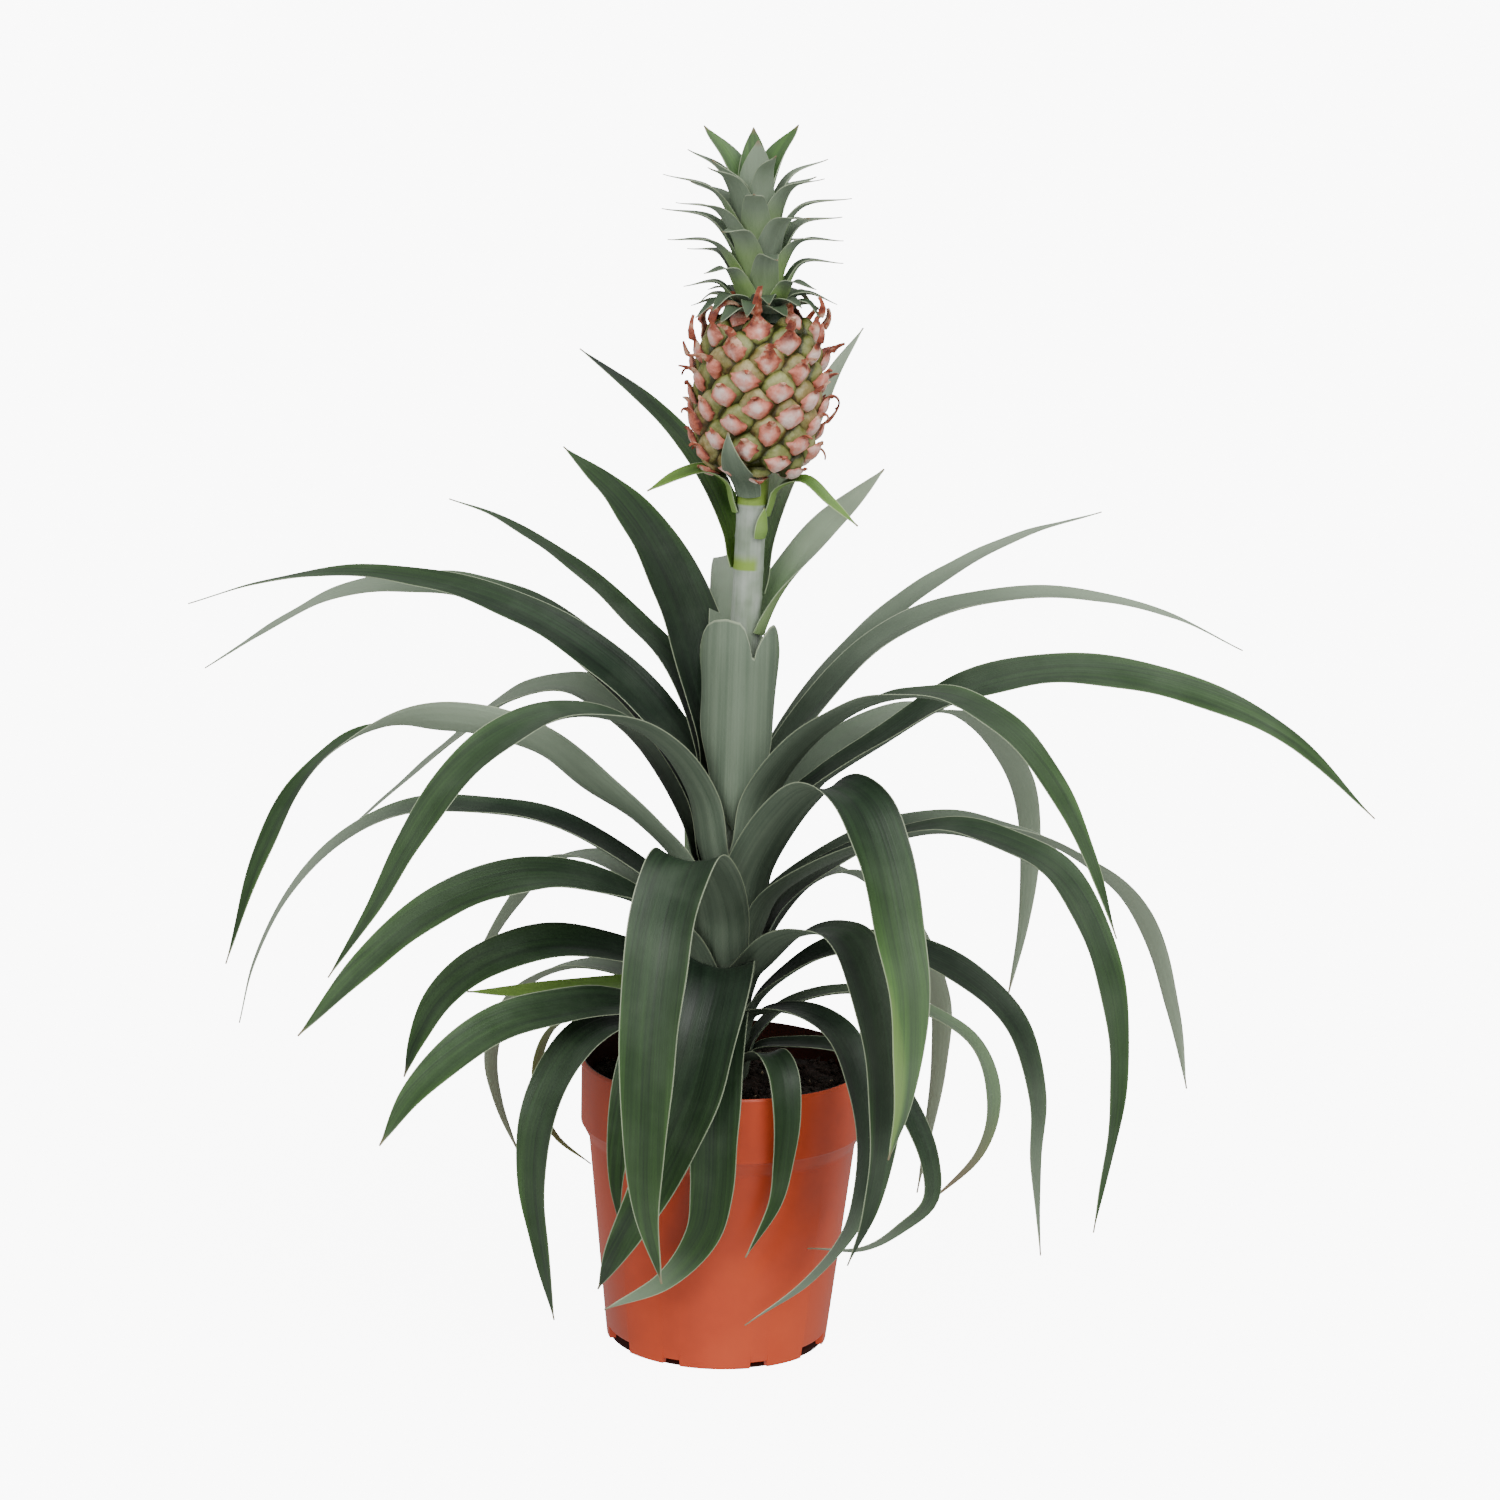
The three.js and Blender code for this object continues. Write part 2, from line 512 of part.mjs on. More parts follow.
/** The fruit: a barrel covered with eyes on a golden-angle spiral. */
function fruit() {
  const profile = Array.from({ length: 7 }, (_, k) => {
    const z = THREE.MathUtils.lerp(FRUIT.bottom, FRUIT.top, (1 - Math.cos((Math.PI * k) / 6)) / 2);
    return [fruitRadius(z), z];
  });
  const pieces = [solid(turned([[0, FRUIT.bottom], ...profile, [0, FRUIT.top]], 14))];
  eyeHeights().forEach((z, k) => {
    const azimuth = radians(GOLDEN_ANGLE * k);
    const slope = (fruitRadius(z + 0.5) - fruitRadius(z - 0.5)) * 0.75;
    const around = new THREE.Vector3(-Math.sin(azimuth), Math.cos(azimuth), 0);
    const outward = new THREE.Vector3(Math.cos(azimuth), Math.sin(azimuth), -slope).normalize();
    const up = outward.clone().cross(around);
    const place = new THREE.Matrix4().makeBasis(around, up, outward)
      .setPosition(fruitRadius(z) * Math.cos(azimuth), fruitRadius(z) * Math.sin(azimuth), z);
    const height = (z - FRUIT.bottom) / (FRUIT.top - FRUIT.bottom);
    const scale = 0.8 + 0.2 * Math.sin(Math.PI * height) ** 0.5;
    pieces.push(solid(eye(scale, 0.4 + 0.8 * height).applyMatrix4(place)));
  });
  const whole = wasm.Manifold.union(pieces);
  const slab = new THREE.BoxGeometry(90, 90, FRUIT.top - FRUIT.bottom + 6);
  slab.translate(0, 0, FRUIT.bottom + (FRUIT.top - FRUIT.bottom + 6) / 2);
  const clearRadius = CROWN.footRadius + 1;
  const overhang = new THREE.CylinderGeometry(clearRadius, clearRadius, 20, 20).rotateX(Math.PI / 2);
  overhang.translate(0, 0, FRUIT.top + 10);
  return leaning(meshOf(mainBody(whole.intersect(solid(slab)).subtract(solid(overhang)))));
}

/** The crown of leaves on the fruit: broad channelled leaves on a slim core, their tips curving out. */
function crown() {
  const { bottom, leaves, leafZone, footRadius, coreRadius, coreTop } = CROWN;
  const pieces = [solid(turned([
    [0, bottom], [footRadius, bottom], [coreRadius, bottom + 8], [coreRadius * 0.7, bottom + 30],
    [0, coreTop],
  ], 10))];
  for (let k = 0; k < leaves; k += 1) {
    const t = k / (leaves - 1);
    const azimuth = radians(GOLDEN_ANGLE * k + 40);
    const out = new THREE.Vector3(Math.cos(azimuth), Math.sin(azimuth), 0);
    const low = bottom + 1.5 + leafZone * t;
    const reach = 14 + 16 * (1 - t ** 5) + 10 * Math.sin(Math.PI * t);
    const rise = THREE.MathUtils.lerp(bottom + 8, CROWN.top, t ** 0.8) - low;
    const points = [
      [9 - 4 * t, low],
      [13 - 6 * t, low + 4 + 0.3 * rise],
      [0.4 * reach + 5 - 4 * t + 3.5 * t ** 4, low + 0.8 * rise + 4 * (1 - t)],
      [reach, low + rise],
    ];
    const curve = new THREE.CatmullRomCurve3(points.map(([x, z]) => new THREE.Vector3(0, 0, z)
      .addScaledVector(out, x)), false, 'centripetal');
    const width = 12 + 4 * Math.sin((Math.PI / 2) * Math.min(1, 1.5 * t));
    pieces.push(solid(blade({
      curve,
      side: new THREE.Vector3(-out.y, out.x, 0),
      sections: 4,
      across: 2,
      half: (s) => Math.max(0.4, (width / 2) * (1 - s ** 1.7)),
      hollow: () => 9,
      thickness: (s, q) => 0.7 + 0.7 * (1 - q * q) * (1 - s),
      roll: () => 0,
      length: () => 1,
    })));
  }
  return tilted(leaning(meshOf(mainBody(wasm.Manifold.union(pieces)))));
}

/** Tilt the crown to the side: it grows a little off the fruit's own line. */
function tilted(geometry) {
  const position = geometry.getAttribute('position');
  for (let i = 0; i < position.count; i += 1) {
    const above = Math.max(0, position.getZ(i) - CROWN.bottom);
    position.setX(i, position.getX(i) + CROWN.tilt * above);
  }
  return geometry;
}

/** A named mesh with its finish. */
function part(name, geometry, finish) {
  const mesh = new THREE.Mesh(closed(geometry), new THREE.MeshStandardMaterial(finish));
  mesh.geometry.computeVertexNormals();
  mesh.name = name;
  return mesh;
}

const pottedPlant = new THREE.Group();
const holder = new THREE.Group();
holder.add(part('pot', pot(), FINISH.terracotta), part('soil', soil(), FINISH.soil));
const plant = new THREE.Group();
plant.add(part('stem', stem(), FINISH.stem));
for (const [name, ...row] of ROSETTE) plant.add(part(name, leaf(...row), FINISH.leaf));
for (const [name, ...row] of SCAPE_LEAVES) plant.add(part(name, leaf(...row), FINISH.scapeLeaf));
plant.add(part('fruit', fruit(), FINISH.fruit), part('crown', crown(), FINISH.crown));
pottedPlant.add(holder, plant);

export default pottedPlant;
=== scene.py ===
"""Looks, studio and camera for an ornamental pineapple in its nursery pot.

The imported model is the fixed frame: +Z is up, -Y is the side that faces the viewer, in metres.
Sizes in this file are millimetres where their name or comment gives no other unit, and a mesh is
turned to metres when it is made. Azimuths are in degrees about +Z: 0 is +X and 90 is the back.
"""

from __future__ import annotations

import logging
import math
from collections.abc import Callable
from dataclasses import dataclass, field
from enum import Enum

import bpy
import numpy as np
from mathutils import Matrix

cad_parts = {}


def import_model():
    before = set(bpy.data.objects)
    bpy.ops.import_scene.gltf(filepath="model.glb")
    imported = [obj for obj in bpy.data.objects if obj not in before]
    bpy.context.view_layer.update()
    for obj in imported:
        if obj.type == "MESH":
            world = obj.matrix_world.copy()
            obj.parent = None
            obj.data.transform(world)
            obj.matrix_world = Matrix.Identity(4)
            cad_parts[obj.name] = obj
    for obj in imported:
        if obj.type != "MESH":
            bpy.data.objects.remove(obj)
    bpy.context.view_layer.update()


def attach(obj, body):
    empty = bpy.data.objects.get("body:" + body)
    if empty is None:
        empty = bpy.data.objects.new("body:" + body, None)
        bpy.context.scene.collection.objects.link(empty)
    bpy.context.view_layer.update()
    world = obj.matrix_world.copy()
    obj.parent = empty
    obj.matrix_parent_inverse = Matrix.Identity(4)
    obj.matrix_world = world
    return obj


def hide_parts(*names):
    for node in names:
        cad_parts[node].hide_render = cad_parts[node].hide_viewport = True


log = logging.getLogger("potted_pineapple")

MM = 0.001
ROOT_BODY = "root"
GOLDEN_ANGLE = math.pi * (3 - math.sqrt(5))
CREASE_ANGLE = 50
UV_UNIT = 100
UNDERSIDE_SHIFT = 3.7

Array = np.ndarray
Draw = np.random.Generator
Socket = bpy.types.NodeSocket


# Colour, shader nodes and meshes


def linear(colour: str) -> tuple[float, float, float, float]:
    """Turn an sRGB hex colour into linear light.

    Formula: c / 12.92 below 0.04045, and ((c + 0.055) / 1.055) to the power 2.4 above it.

    Args:
        colour: Six hex digits.

    Returns:
        Red, green, blue and an alpha of 1.
    """
    channels = [int(colour[k:k + 2], 16) / 255 for k in (0, 2, 4)]
    light = [c / 12.92 if c <= 0.04045 else ((c + 0.055) / 1.055) ** 2.4 for c in channels]
    return light[0], light[1], light[2], 1.0


def cells(size: float) -> float:
    """A pattern's scale: how many of its cells, of a size in millimetres, fill a metre."""
    return 1 / (size * MM)


def add_node(tree: bpy.types.NodeTree, kind: str, settings: dict | None = None,
             inputs: dict | None = None) -> Socket:
    """Add one shader node with its settings and links.

    Args:
        tree: The material's node tree.
        kind: The node's type name.
        settings: Attributes of the node; "stops" lists a colour ramp's (place, colour) pairs, and
            "output" is the number of the output wanted.
        inputs: Input name or number to a socket, which is linked, or to a value, which is set.

    Returns:
        The wanted output socket.
    """
    node = tree.nodes.new(kind)
    wanted = dict(settings or {})
    output = wanted.pop("output", 0)
    stops = wanted.pop("stops", None)
    for name, value in wanted.items():
        setattr(node, name, value)
    if stops:
        elements = node.color_ramp.elements
        while len(elements) < len(stops):
            elements.new(1.0)
        for element, (place, colour) in zip(elements, stops):
            element.position = place
            element.color = linear(colour)
    for name, value in (inputs or {}).items():
        if isinstance(value, Socket):
            tree.links.new(value, node.inputs[name])
        else:
            node.inputs[name].default_value = value
    return node.outputs[output] if len(node.outputs) else None


class Graph:
    """A material's node tree while it is being wired."""

    def __init__(self, name: str) -> None:
        """Start an empty material.

        Args:
            name: The material's name.
        """
        self.material = bpy.data.materials.new(name)
        self.material.use_nodes = True
        self.tree = self.material.node_tree
        self.tree.nodes.clear()

    def node(self, kind: str, settings: dict | None = None,
             inputs: dict | None = None) -> Socket:
        """Add one node of the shader family, named without its prefix."""
        return add_node(self.tree, "ShaderNode" + kind, settings, inputs)

    def surface(self, settings: dict) -> bpy.types.Material:
        """End the graph in a Principled BSDF.

        Args:
            settings: The shader's inputs, as sockets or values.

        Returns:
            The finished material.
        """
        shader = self.node("BsdfPrincipled", inputs=settings)
        self.node("OutputMaterial", inputs={"Surface": shader})
        return self.material


@dataclass
class Mesh:
    """A closed mesh as arrays, in millimetres.

    Attributes:
        points: Vertices, one row each.
        faces: Corner numbers, one row of four for each face; a triangle repeats its last corner.
        values: Named numbers on the vertices.
        flat: Two surface coordinates for each vertex, in units of UV_UNIT, or None.
    """

    points: Array
    faces: Array
    values: dict[str, Array] = field(default_factory=dict)
    flat: Array | None = None

    @staticmethod
    def joined(parts: list[Mesh]) -> Mesh:
        """Put several meshes in one, with each one's corner numbers moved past the last.

        Args:
            parts: The meshes.

        Returns:
            One mesh with all their numbers; a part that lacks one has 0 there.
        """
        starts = np.cumsum([0] + [len(part.points) for part in parts[:-1]])
        names = sorted(set().union(*(part.values for part in parts)))
        values = {name: np.concatenate([part.values.get(name, np.zeros(len(part.points)))
                                        for part in parts]) for name in names}
        flat = None
        if all(part.flat is not None for part in parts):
            flat = np.concatenate([part.flat for part in parts])
        return Mesh(np.concatenate([part.points for part in parts]),
                    np.concatenate([part.faces + start for part, start in zip(parts, starts)]),
                    values, flat)


def make_piece(name: str, mesh: Mesh, material: bpy.types.Material,
               nodes: tuple[str, ...] = ()) -> bpy.types.Object:
    """Turn arrays into an object that rides with the plant.

    Args:
        name: The piece's name.
        mesh: Its arrays, in millimetres.
        material: Its finish.
        nodes: The CAD nodes that it stands for.

    Returns:
        The object, at the origin and unturned.
    """
    data = bpy.data.meshes.new(name)
    faces = [row[:3] if row[2] == row[3] else row for row in mesh.faces.tolist()]
    data.from_pydata((mesh.points * MM).tolist(), [], faces)
    data.polygons.foreach_set("use_smooth", np.ones(len(data.polygons), bool))
    for key, value in mesh.values.items():
        layer = data.attributes.new(key, "FLOAT", "POINT")
        layer.data.foreach_set("value", np.asarray(value, np.float32))
    if mesh.flat is not None:
        corners = np.zeros(len(data.loops), np.int32)
        data.loops.foreach_get("vertex_index", corners)
        layer = data.uv_layers.new(name="along_blade")
        layer.data.foreach_set("uv", mesh.flat[corners].astype(np.float32).ravel())
    data.validate()
    data.set_sharp_from_angle(angle=math.radians(CREASE_ANGLE))
    data.update()
    piece = bpy.data.objects.new(name, data)
    piece.data.materials.append(material)
    bpy.context.scene.collection.objects.link(piece)
    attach(piece, ROOT_BODY)
    if nodes:
        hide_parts(*nodes)
    log.info("%s: %d faces", name, len(faces))
    return piece


def grid_faces(rows: int, columns: int, around: bool = False) -> Array:
    """The faces of a grid of vertices, numbered row after row.

    Args:
        rows: Number of vertex rows.
        columns: Number of vertices in a row.
        around: Whether the last column joins the first.

    Returns:
        One row of four corner numbers for each face.
    """
    row = np.arange(rows - 1)[:, None] * columns
    column = np.arange(columns if around else columns - 1)[None, :]
    nearer, further = row + column, row + (column + 1) % columns
    return np.stack([nearer, further, further + columns, nearer + columns], -1).reshape(-1, 4)


def smooth_step(low: float, high: float, value: Array) -> Array:
    """Rise from 0 at low to 1 at high along 3 t squared minus 2 t cubed."""
    t = np.clip((value - low) / (high - low), 0, 1)
    return t * t * (3 - 2 * t)


def unit(vectors: Array) -> Array:
    """Each vector divided by its own length."""
    return vectors / np.linalg.norm(vectors, axis=-1, keepdims=True)


# The leaning stem, which everything of the plant stands on

LEAN_OFFSET, LEAN_SLOPE, LEAN_FROM = -1.4, 0.0224, 105
STEM_PROFILE = ((8.7, 70), (9, 84), (9, 236), (7.9, 248), (6.5, 260), (6.2, 290), (6.1, 354),
                (6.6, 356.5), (6.4, 359), (6.5, 367), (8.6, 371))


def stem_axis(height: Array | float) -> Array | float:
    """Where the leaning stem's axis stands in X at a height: a straight line."""
    return LEAN_OFFSET + LEAN_SLOPE * (height - LEAN_FROM)


def stem_radius(height: Array | float) -> Array:
    """The stem's radius at a height, read between the points of its profile."""
    radii, heights = np.array(STEM_PROFILE, float).T
    return np.interp(height, heights, radii)


def leaning(points: Array) -> Array:
    """Shear points built on the Z axis along X, so that they stand on the leaning stem."""
    return points + np.stack([stem_axis(points[:, 2]), 0 * points[:, 2], 0 * points[:, 2]], -1)


def around_axis(count: int) -> Array:
    """Evenly spread azimuths, in radians."""
    return 2 * np.pi * np.arange(count) / count


def turned(profile: Array, angle: Array) -> Mesh:
    """Turn a profile about +Z and close its two ends on the axis.

    Formula: (radius cos a, radius sin a, height) for each azimuth a.

    Args:
        profile: Rows of radius and height, from the bottom up the outside.
        angle: The azimuths, in radians.

    Returns:
        The closed mesh, its faces outwards where the profile runs upwards outside.
    """
    radius, height = np.asarray(profile, float).T
    points = np.stack([radius[:, None] * np.cos(angle), radius[:, None] * np.sin(angle),
                       np.repeat(height[:, None], len(angle), 1)], -1)
    return capped(points)


def capped(rings: Array) -> Mesh:
    """Close a tube of rings with one point in the middle of each end.

    Args:
        rings: Array of ring, corner and coordinate.

    Returns:
        The closed mesh, its faces outwards where the corners run anticlockwise seen from the end.
    """
    count, sides = rings.shape[:2]
    ends = np.stack([rings[0].mean(0), rings[-1].mean(0)])
    faces = grid_faces(count, sides, around=True)
    corner = np.arange(sides)
    following = (corner + 1) % sides
    low, high = count * sides, count * sides + 1
    last = (count - 1) * sides
    bottom = np.stack([following, corner, 0 * corner + low, 0 * corner + low], -1)
    top = np.stack([last + corner, last + following, 0 * corner + high, 0 * corner + high], -1)
    return Mesh(np.concatenate([rings.reshape(-1, 3), ends]), np.concatenate([faces, bottom, top]))


# Blades: the rosette's leaves, the bare stem's leaves and the crown's leaves


@dataclass(frozen=True)
class Midline:
    """A smooth curve through given points, read by its share of length.

    The curve is a centripetal Catmull-Rom spline: between two points it is a cubic whose end slopes
    come from the spacing of the four nearest points, each spacing being the square root of a chord.
    """

    points: tuple[tuple[float, ...], ...]
    samples: int = 48

    def _cubics(self) -> Array:
        """Work out the cubics from the points and their spacing.

        Returns:
            The four coefficients of each stretch's cubic, from the constant one up.
        """
        p = np.array(self.points, float)
        p = np.concatenate([[2 * p[0] - p[1]], p, [2 * p[-1] - p[-2]]])
        gap = np.sqrt(np.linalg.norm(np.diff(p, axis=0), axis=1))[:, None]
        p0, p1, p2, p3 = p[:-3], p[1:-2], p[2:-1], p[3:]
        g0, g1, g2 = gap[:-2], gap[1:-1], gap[2:]
        slope1 = g1 * ((p1 - p0) / g0 - (p2 - p0) / (g0 + g1) + (p2 - p1) / g1)
        slope2 = g1 * ((p2 - p1) / g1 - (p3 - p1) / (g1 + g2) + (p3 - p2) / g2)
        return np.stack([p1, slope1, 3 * (p2 - p1) - 2 * slope1 - slope2,
                         2 * (p1 - p2) + slope1 + slope2])

    def read(self, share: Array) -> tuple[Array, Array, float]:
        """Read the curve.

        Args:
            share: Shares of the whole length, from 0 to 1.

        Returns:
            The points, the unit tangents and the whole length.
        """
        cubic = self._cubics()
        stretches = cubic.shape[1]

        def at(place: Array) -> tuple[Array, Array]:
            """Read the cubics c0 + c1 t + c2 t squared + c3 t cubed and their slopes.

            Args:
                place: Places along the curve, counted in stretches; t is the part of a stretch.

            Returns:
                The points and the slopes.
            """
            k = np.clip(place.astype(int), 0, stretches - 1)
            t = (place - k)[..., None]
            c0, c1, c2, c3 = (cubic[n][k] for n in range(4))
            return c0 + t * (c1 + t * (c2 + t * c3)), c1 + t * (2 * c2 + 3 * t * c3)

        dense = np.linspace(0, stretches, stretches * self.samples + 1)
        steps = np.linalg.norm(np.diff(at(dense)[0], axis=0), axis=1)
        run = np.concatenate([[0], np.cumsum(steps)])
        points, slopes = at(np.interp(share * run[-1], run, dense))
        return points, unit(slopes), float(run[-1])


@dataclass(frozen=True)
class LeafTint:
    """How one kind of leaf is coloured.

    Attributes:
        bloom: How thickly pale scales dust both sides.
        tail_bloom, tail_from: How much thicker they are towards the tip, and from what share of
            its length.
        under_bloom: How much thicker they are on the underside.
        base_green, tip_green: How fresh its green is near the root and near the tip.
        lit_side: Which margin is painted sunlit, a brighter green, -1 or 1, or 0 for neither.
        lit_from: The share of its length where its green starts to freshen.
        dry_from: The share of its length where its tip starts to dry.
    """

    bloom: float = 0.0
    tail_bloom: float = 0.0
    tail_from: float = 0.4
    under_bloom: float = 0.1
    base_green: float = 0.03
    tip_green: float = 0.3
    lit_side: float = 0.0
    lit_from: float = 0.15
    dry_from: float = 0.975


class LeafLook(Enum):
    """The kinds of colouring among this plant's leaves."""

    DEEP = LeafTint()
    FRESH = LeafTint(bloom=0.04, base_green=0.04, tip_green=0.36)
    # LIT paints sunlight: one margin and the tip turn a brighter green where the light falls.
    LIT = LeafTint(tail_bloom=0.22, tail_from=0.5, tip_green=1.5, lit_side=-1.0, lit_from=0.3)
    SHOOT = LeafTint(base_green=1.7, tip_green=0.0, lit_from=-0.4)
    WAXY = LeafTint(bloom=0.85, base_green=1.0, tip_green=0.1)
    BRIGHT = LeafTint(base_green=1.0, tip_green=1.3)
    LIME = LeafTint(base_green=1.35, tip_green=1.75)
    TIPPED = LeafTint(tail_bloom=0.6, tail_from=0.72, tip_green=0.4)
    OLIVE = LeafTint(bloom=0.05, base_green=0.45, tip_green=0.7)
    SILVER = LeafTint(bloom=0.05, base_green=0.08, tip_green=0.15)
    FOLDED = LeafTint(under_bloom=0.95)
    MISTED = LeafTint(bloom=0.3, tail_bloom=0.5, tip_green=0.15)
    BLEACHED = LeafTint(tail_bloom=0.75, tip_green=0.15)
    PALE = LeafTint(bloom=0.62, base_green=0.1, tip_green=0.12, dry_from=0.96)
    TAIL = LeafTint(bloom=0.4, base_green=0.15, tip_green=1.1, dry_from=0.72)
    TAILED = LeafTint(bloom=0.03, tail_bloom=0.55, tail_from=0.58, tip_green=0.2,
                      dry_from=0.95)


def eased(stops: tuple[float, ...], share: Array) -> Array:
    """Read evenly spread stops, easing from each to the next along half a cosine wave.

    Args:
        stops: The values at even shares from 0 to 1.
        share: Where to read them.

    Returns:
        The value at each share.
    """
    values = np.array(stops, float)
    if len(values) == 1:
        return np.full(np.shape(share), values[0])
    place = np.clip(share, 0, 1) * (len(values) - 1)
    k = np.minimum(place.astype(int), len(values) - 2)
    t = (1 - np.cos(np.pi * (place - k))) / 2
    return values[k] * (1 - t) + values[k + 1] * t


@dataclass(frozen=True)
class Blade:
    """A thin channelled blade along a midline.

    Its section is an arc: at the share s of the length and q from -1 to 1 across, the middle sheet
    lies at midline + R sin(a) b + R (1 - cos a) n, with a = q half / R. There b is the side
    direction made square to the midline and rolled about it, n is tangent x b, which faces the
    upper side, and R is the fold's radius. The two faces lie half the thickness to each side.

    Attributes:
        midline: What its rib follows.
        side: The unit direction of its width before the roll.
        half, fold, thickness: Half its width, its fold's radius and its wall.
        roll, ripple: Its turn about the midline and its unevenness.
        length: What share of the length it reaches at each place across.
        rows, columns: Vertices along and across it.
        crowding: How much closer its rows stand near the root, as a power.
        bead: How wide the strip along each margin is, as a share of half the width.
    """

    midline: Midline
    side: Array
    half: Callable[[Array], Array]
    fold: Callable[[Array, Array], Array]
    thickness: Callable[[Array, Array], Array]
    roll: Callable[[Array], Array]
    ripple: Callable[[Array, Array, Array], Array]
    length: Callable[[Array], Array]
    rows: int
    columns: int
    crowding: float = 1.1
    bead: float = 0.045

    def mesh(self, phase: float) -> Mesh:
        """Build the closed blade.

        Args:
            phase: Shifts the surface coordinates, so that no two blades share a pattern.

        Returns:
            The mesh with its surface coordinates and its named numbers.
        """
        inner = np.linspace(-1 + self.bead, 1 - self.bead, self.columns - 2)
        across = np.concatenate([[-1], inner, [1]])
        q = np.broadcast_to(across, (self.rows, self.columns))
        base = np.linspace(0, 1, self.rows)[:, None] ** self.crowding
        s = base * self.length(q)
        points, along, run = self.midline.read(s)
        b = unit(self.side - (along @ self.side)[..., None] * along)
        turn = self.roll(s)[..., None]
        b = b * np.cos(turn) + np.cross(along, b) * np.sin(turn)
        n = np.cross(along, b)
        half = self.half(s)
        fold = self.fold(s, points)
        angle = (q * half / fold)[..., None]
        normal = n * np.cos(angle) - b * np.sin(angle)
        sheet = points + fold[..., None] * (np.sin(angle) * b + (1 - np.cos(angle)) * n)
        sheet = sheet + normal * self.ripple(s, q, s * run)[..., None]
        wall = (self.thickness(s, q) / 2)[..., None] * normal
        upper, lower = sheet + wall, sheet - wall
        grid = grid_faces(self.rows, self.columns)
        count = self.rows * self.columns
        faces = [grid[:, ::-1], grid + count, self._rim(count)]
        gap = np.minimum((1 - np.abs(q)) * half, (self.length(q) - s) * run * 0.8)
        flat = np.stack([q * half, s * run], -1).reshape(-1, 2) / UV_UNIT + phase
        return Mesh(
            np.concatenate([upper.reshape(-1, 3), lower.reshape(-1, 3)]),
            np.concatenate(faces),
            {"upper_side": np.repeat([1.0, 0.0], count), "share": np.tile(s.ravel(), 2),
             "margin_gap": np.tile(gap.ravel(), 2), "across": np.tile(q.ravel(), 2)},
            np.concatenate([flat, flat + UNDERSIDE_SHIFT]),
        )

    def _rim(self, count: int) -> Array:
        """Join the two faces of the blade round its outline.

        Args:
            count: The number of vertices on one face.

        Returns:
            One row of four corner numbers for each face of the rim.
        """
        number = np.arange(count).reshape(self.rows, self.columns)
        loop = np.concatenate([number[0], number[1:, -1], number[-1, -2::-1], number[-2:0:-1, 0]])
        after = np.roll(loop, -1)
        return np.stack([loop, after, after + count, loop + count], -1)


BLADE_EDGE, BLADE_RIB, ROOT_GAP, SHEATH_SLOPE, TIP_WIDTH = 0.66, 0.4, 0.75, 0.33, 0.8
LOBED_TAPER = 10


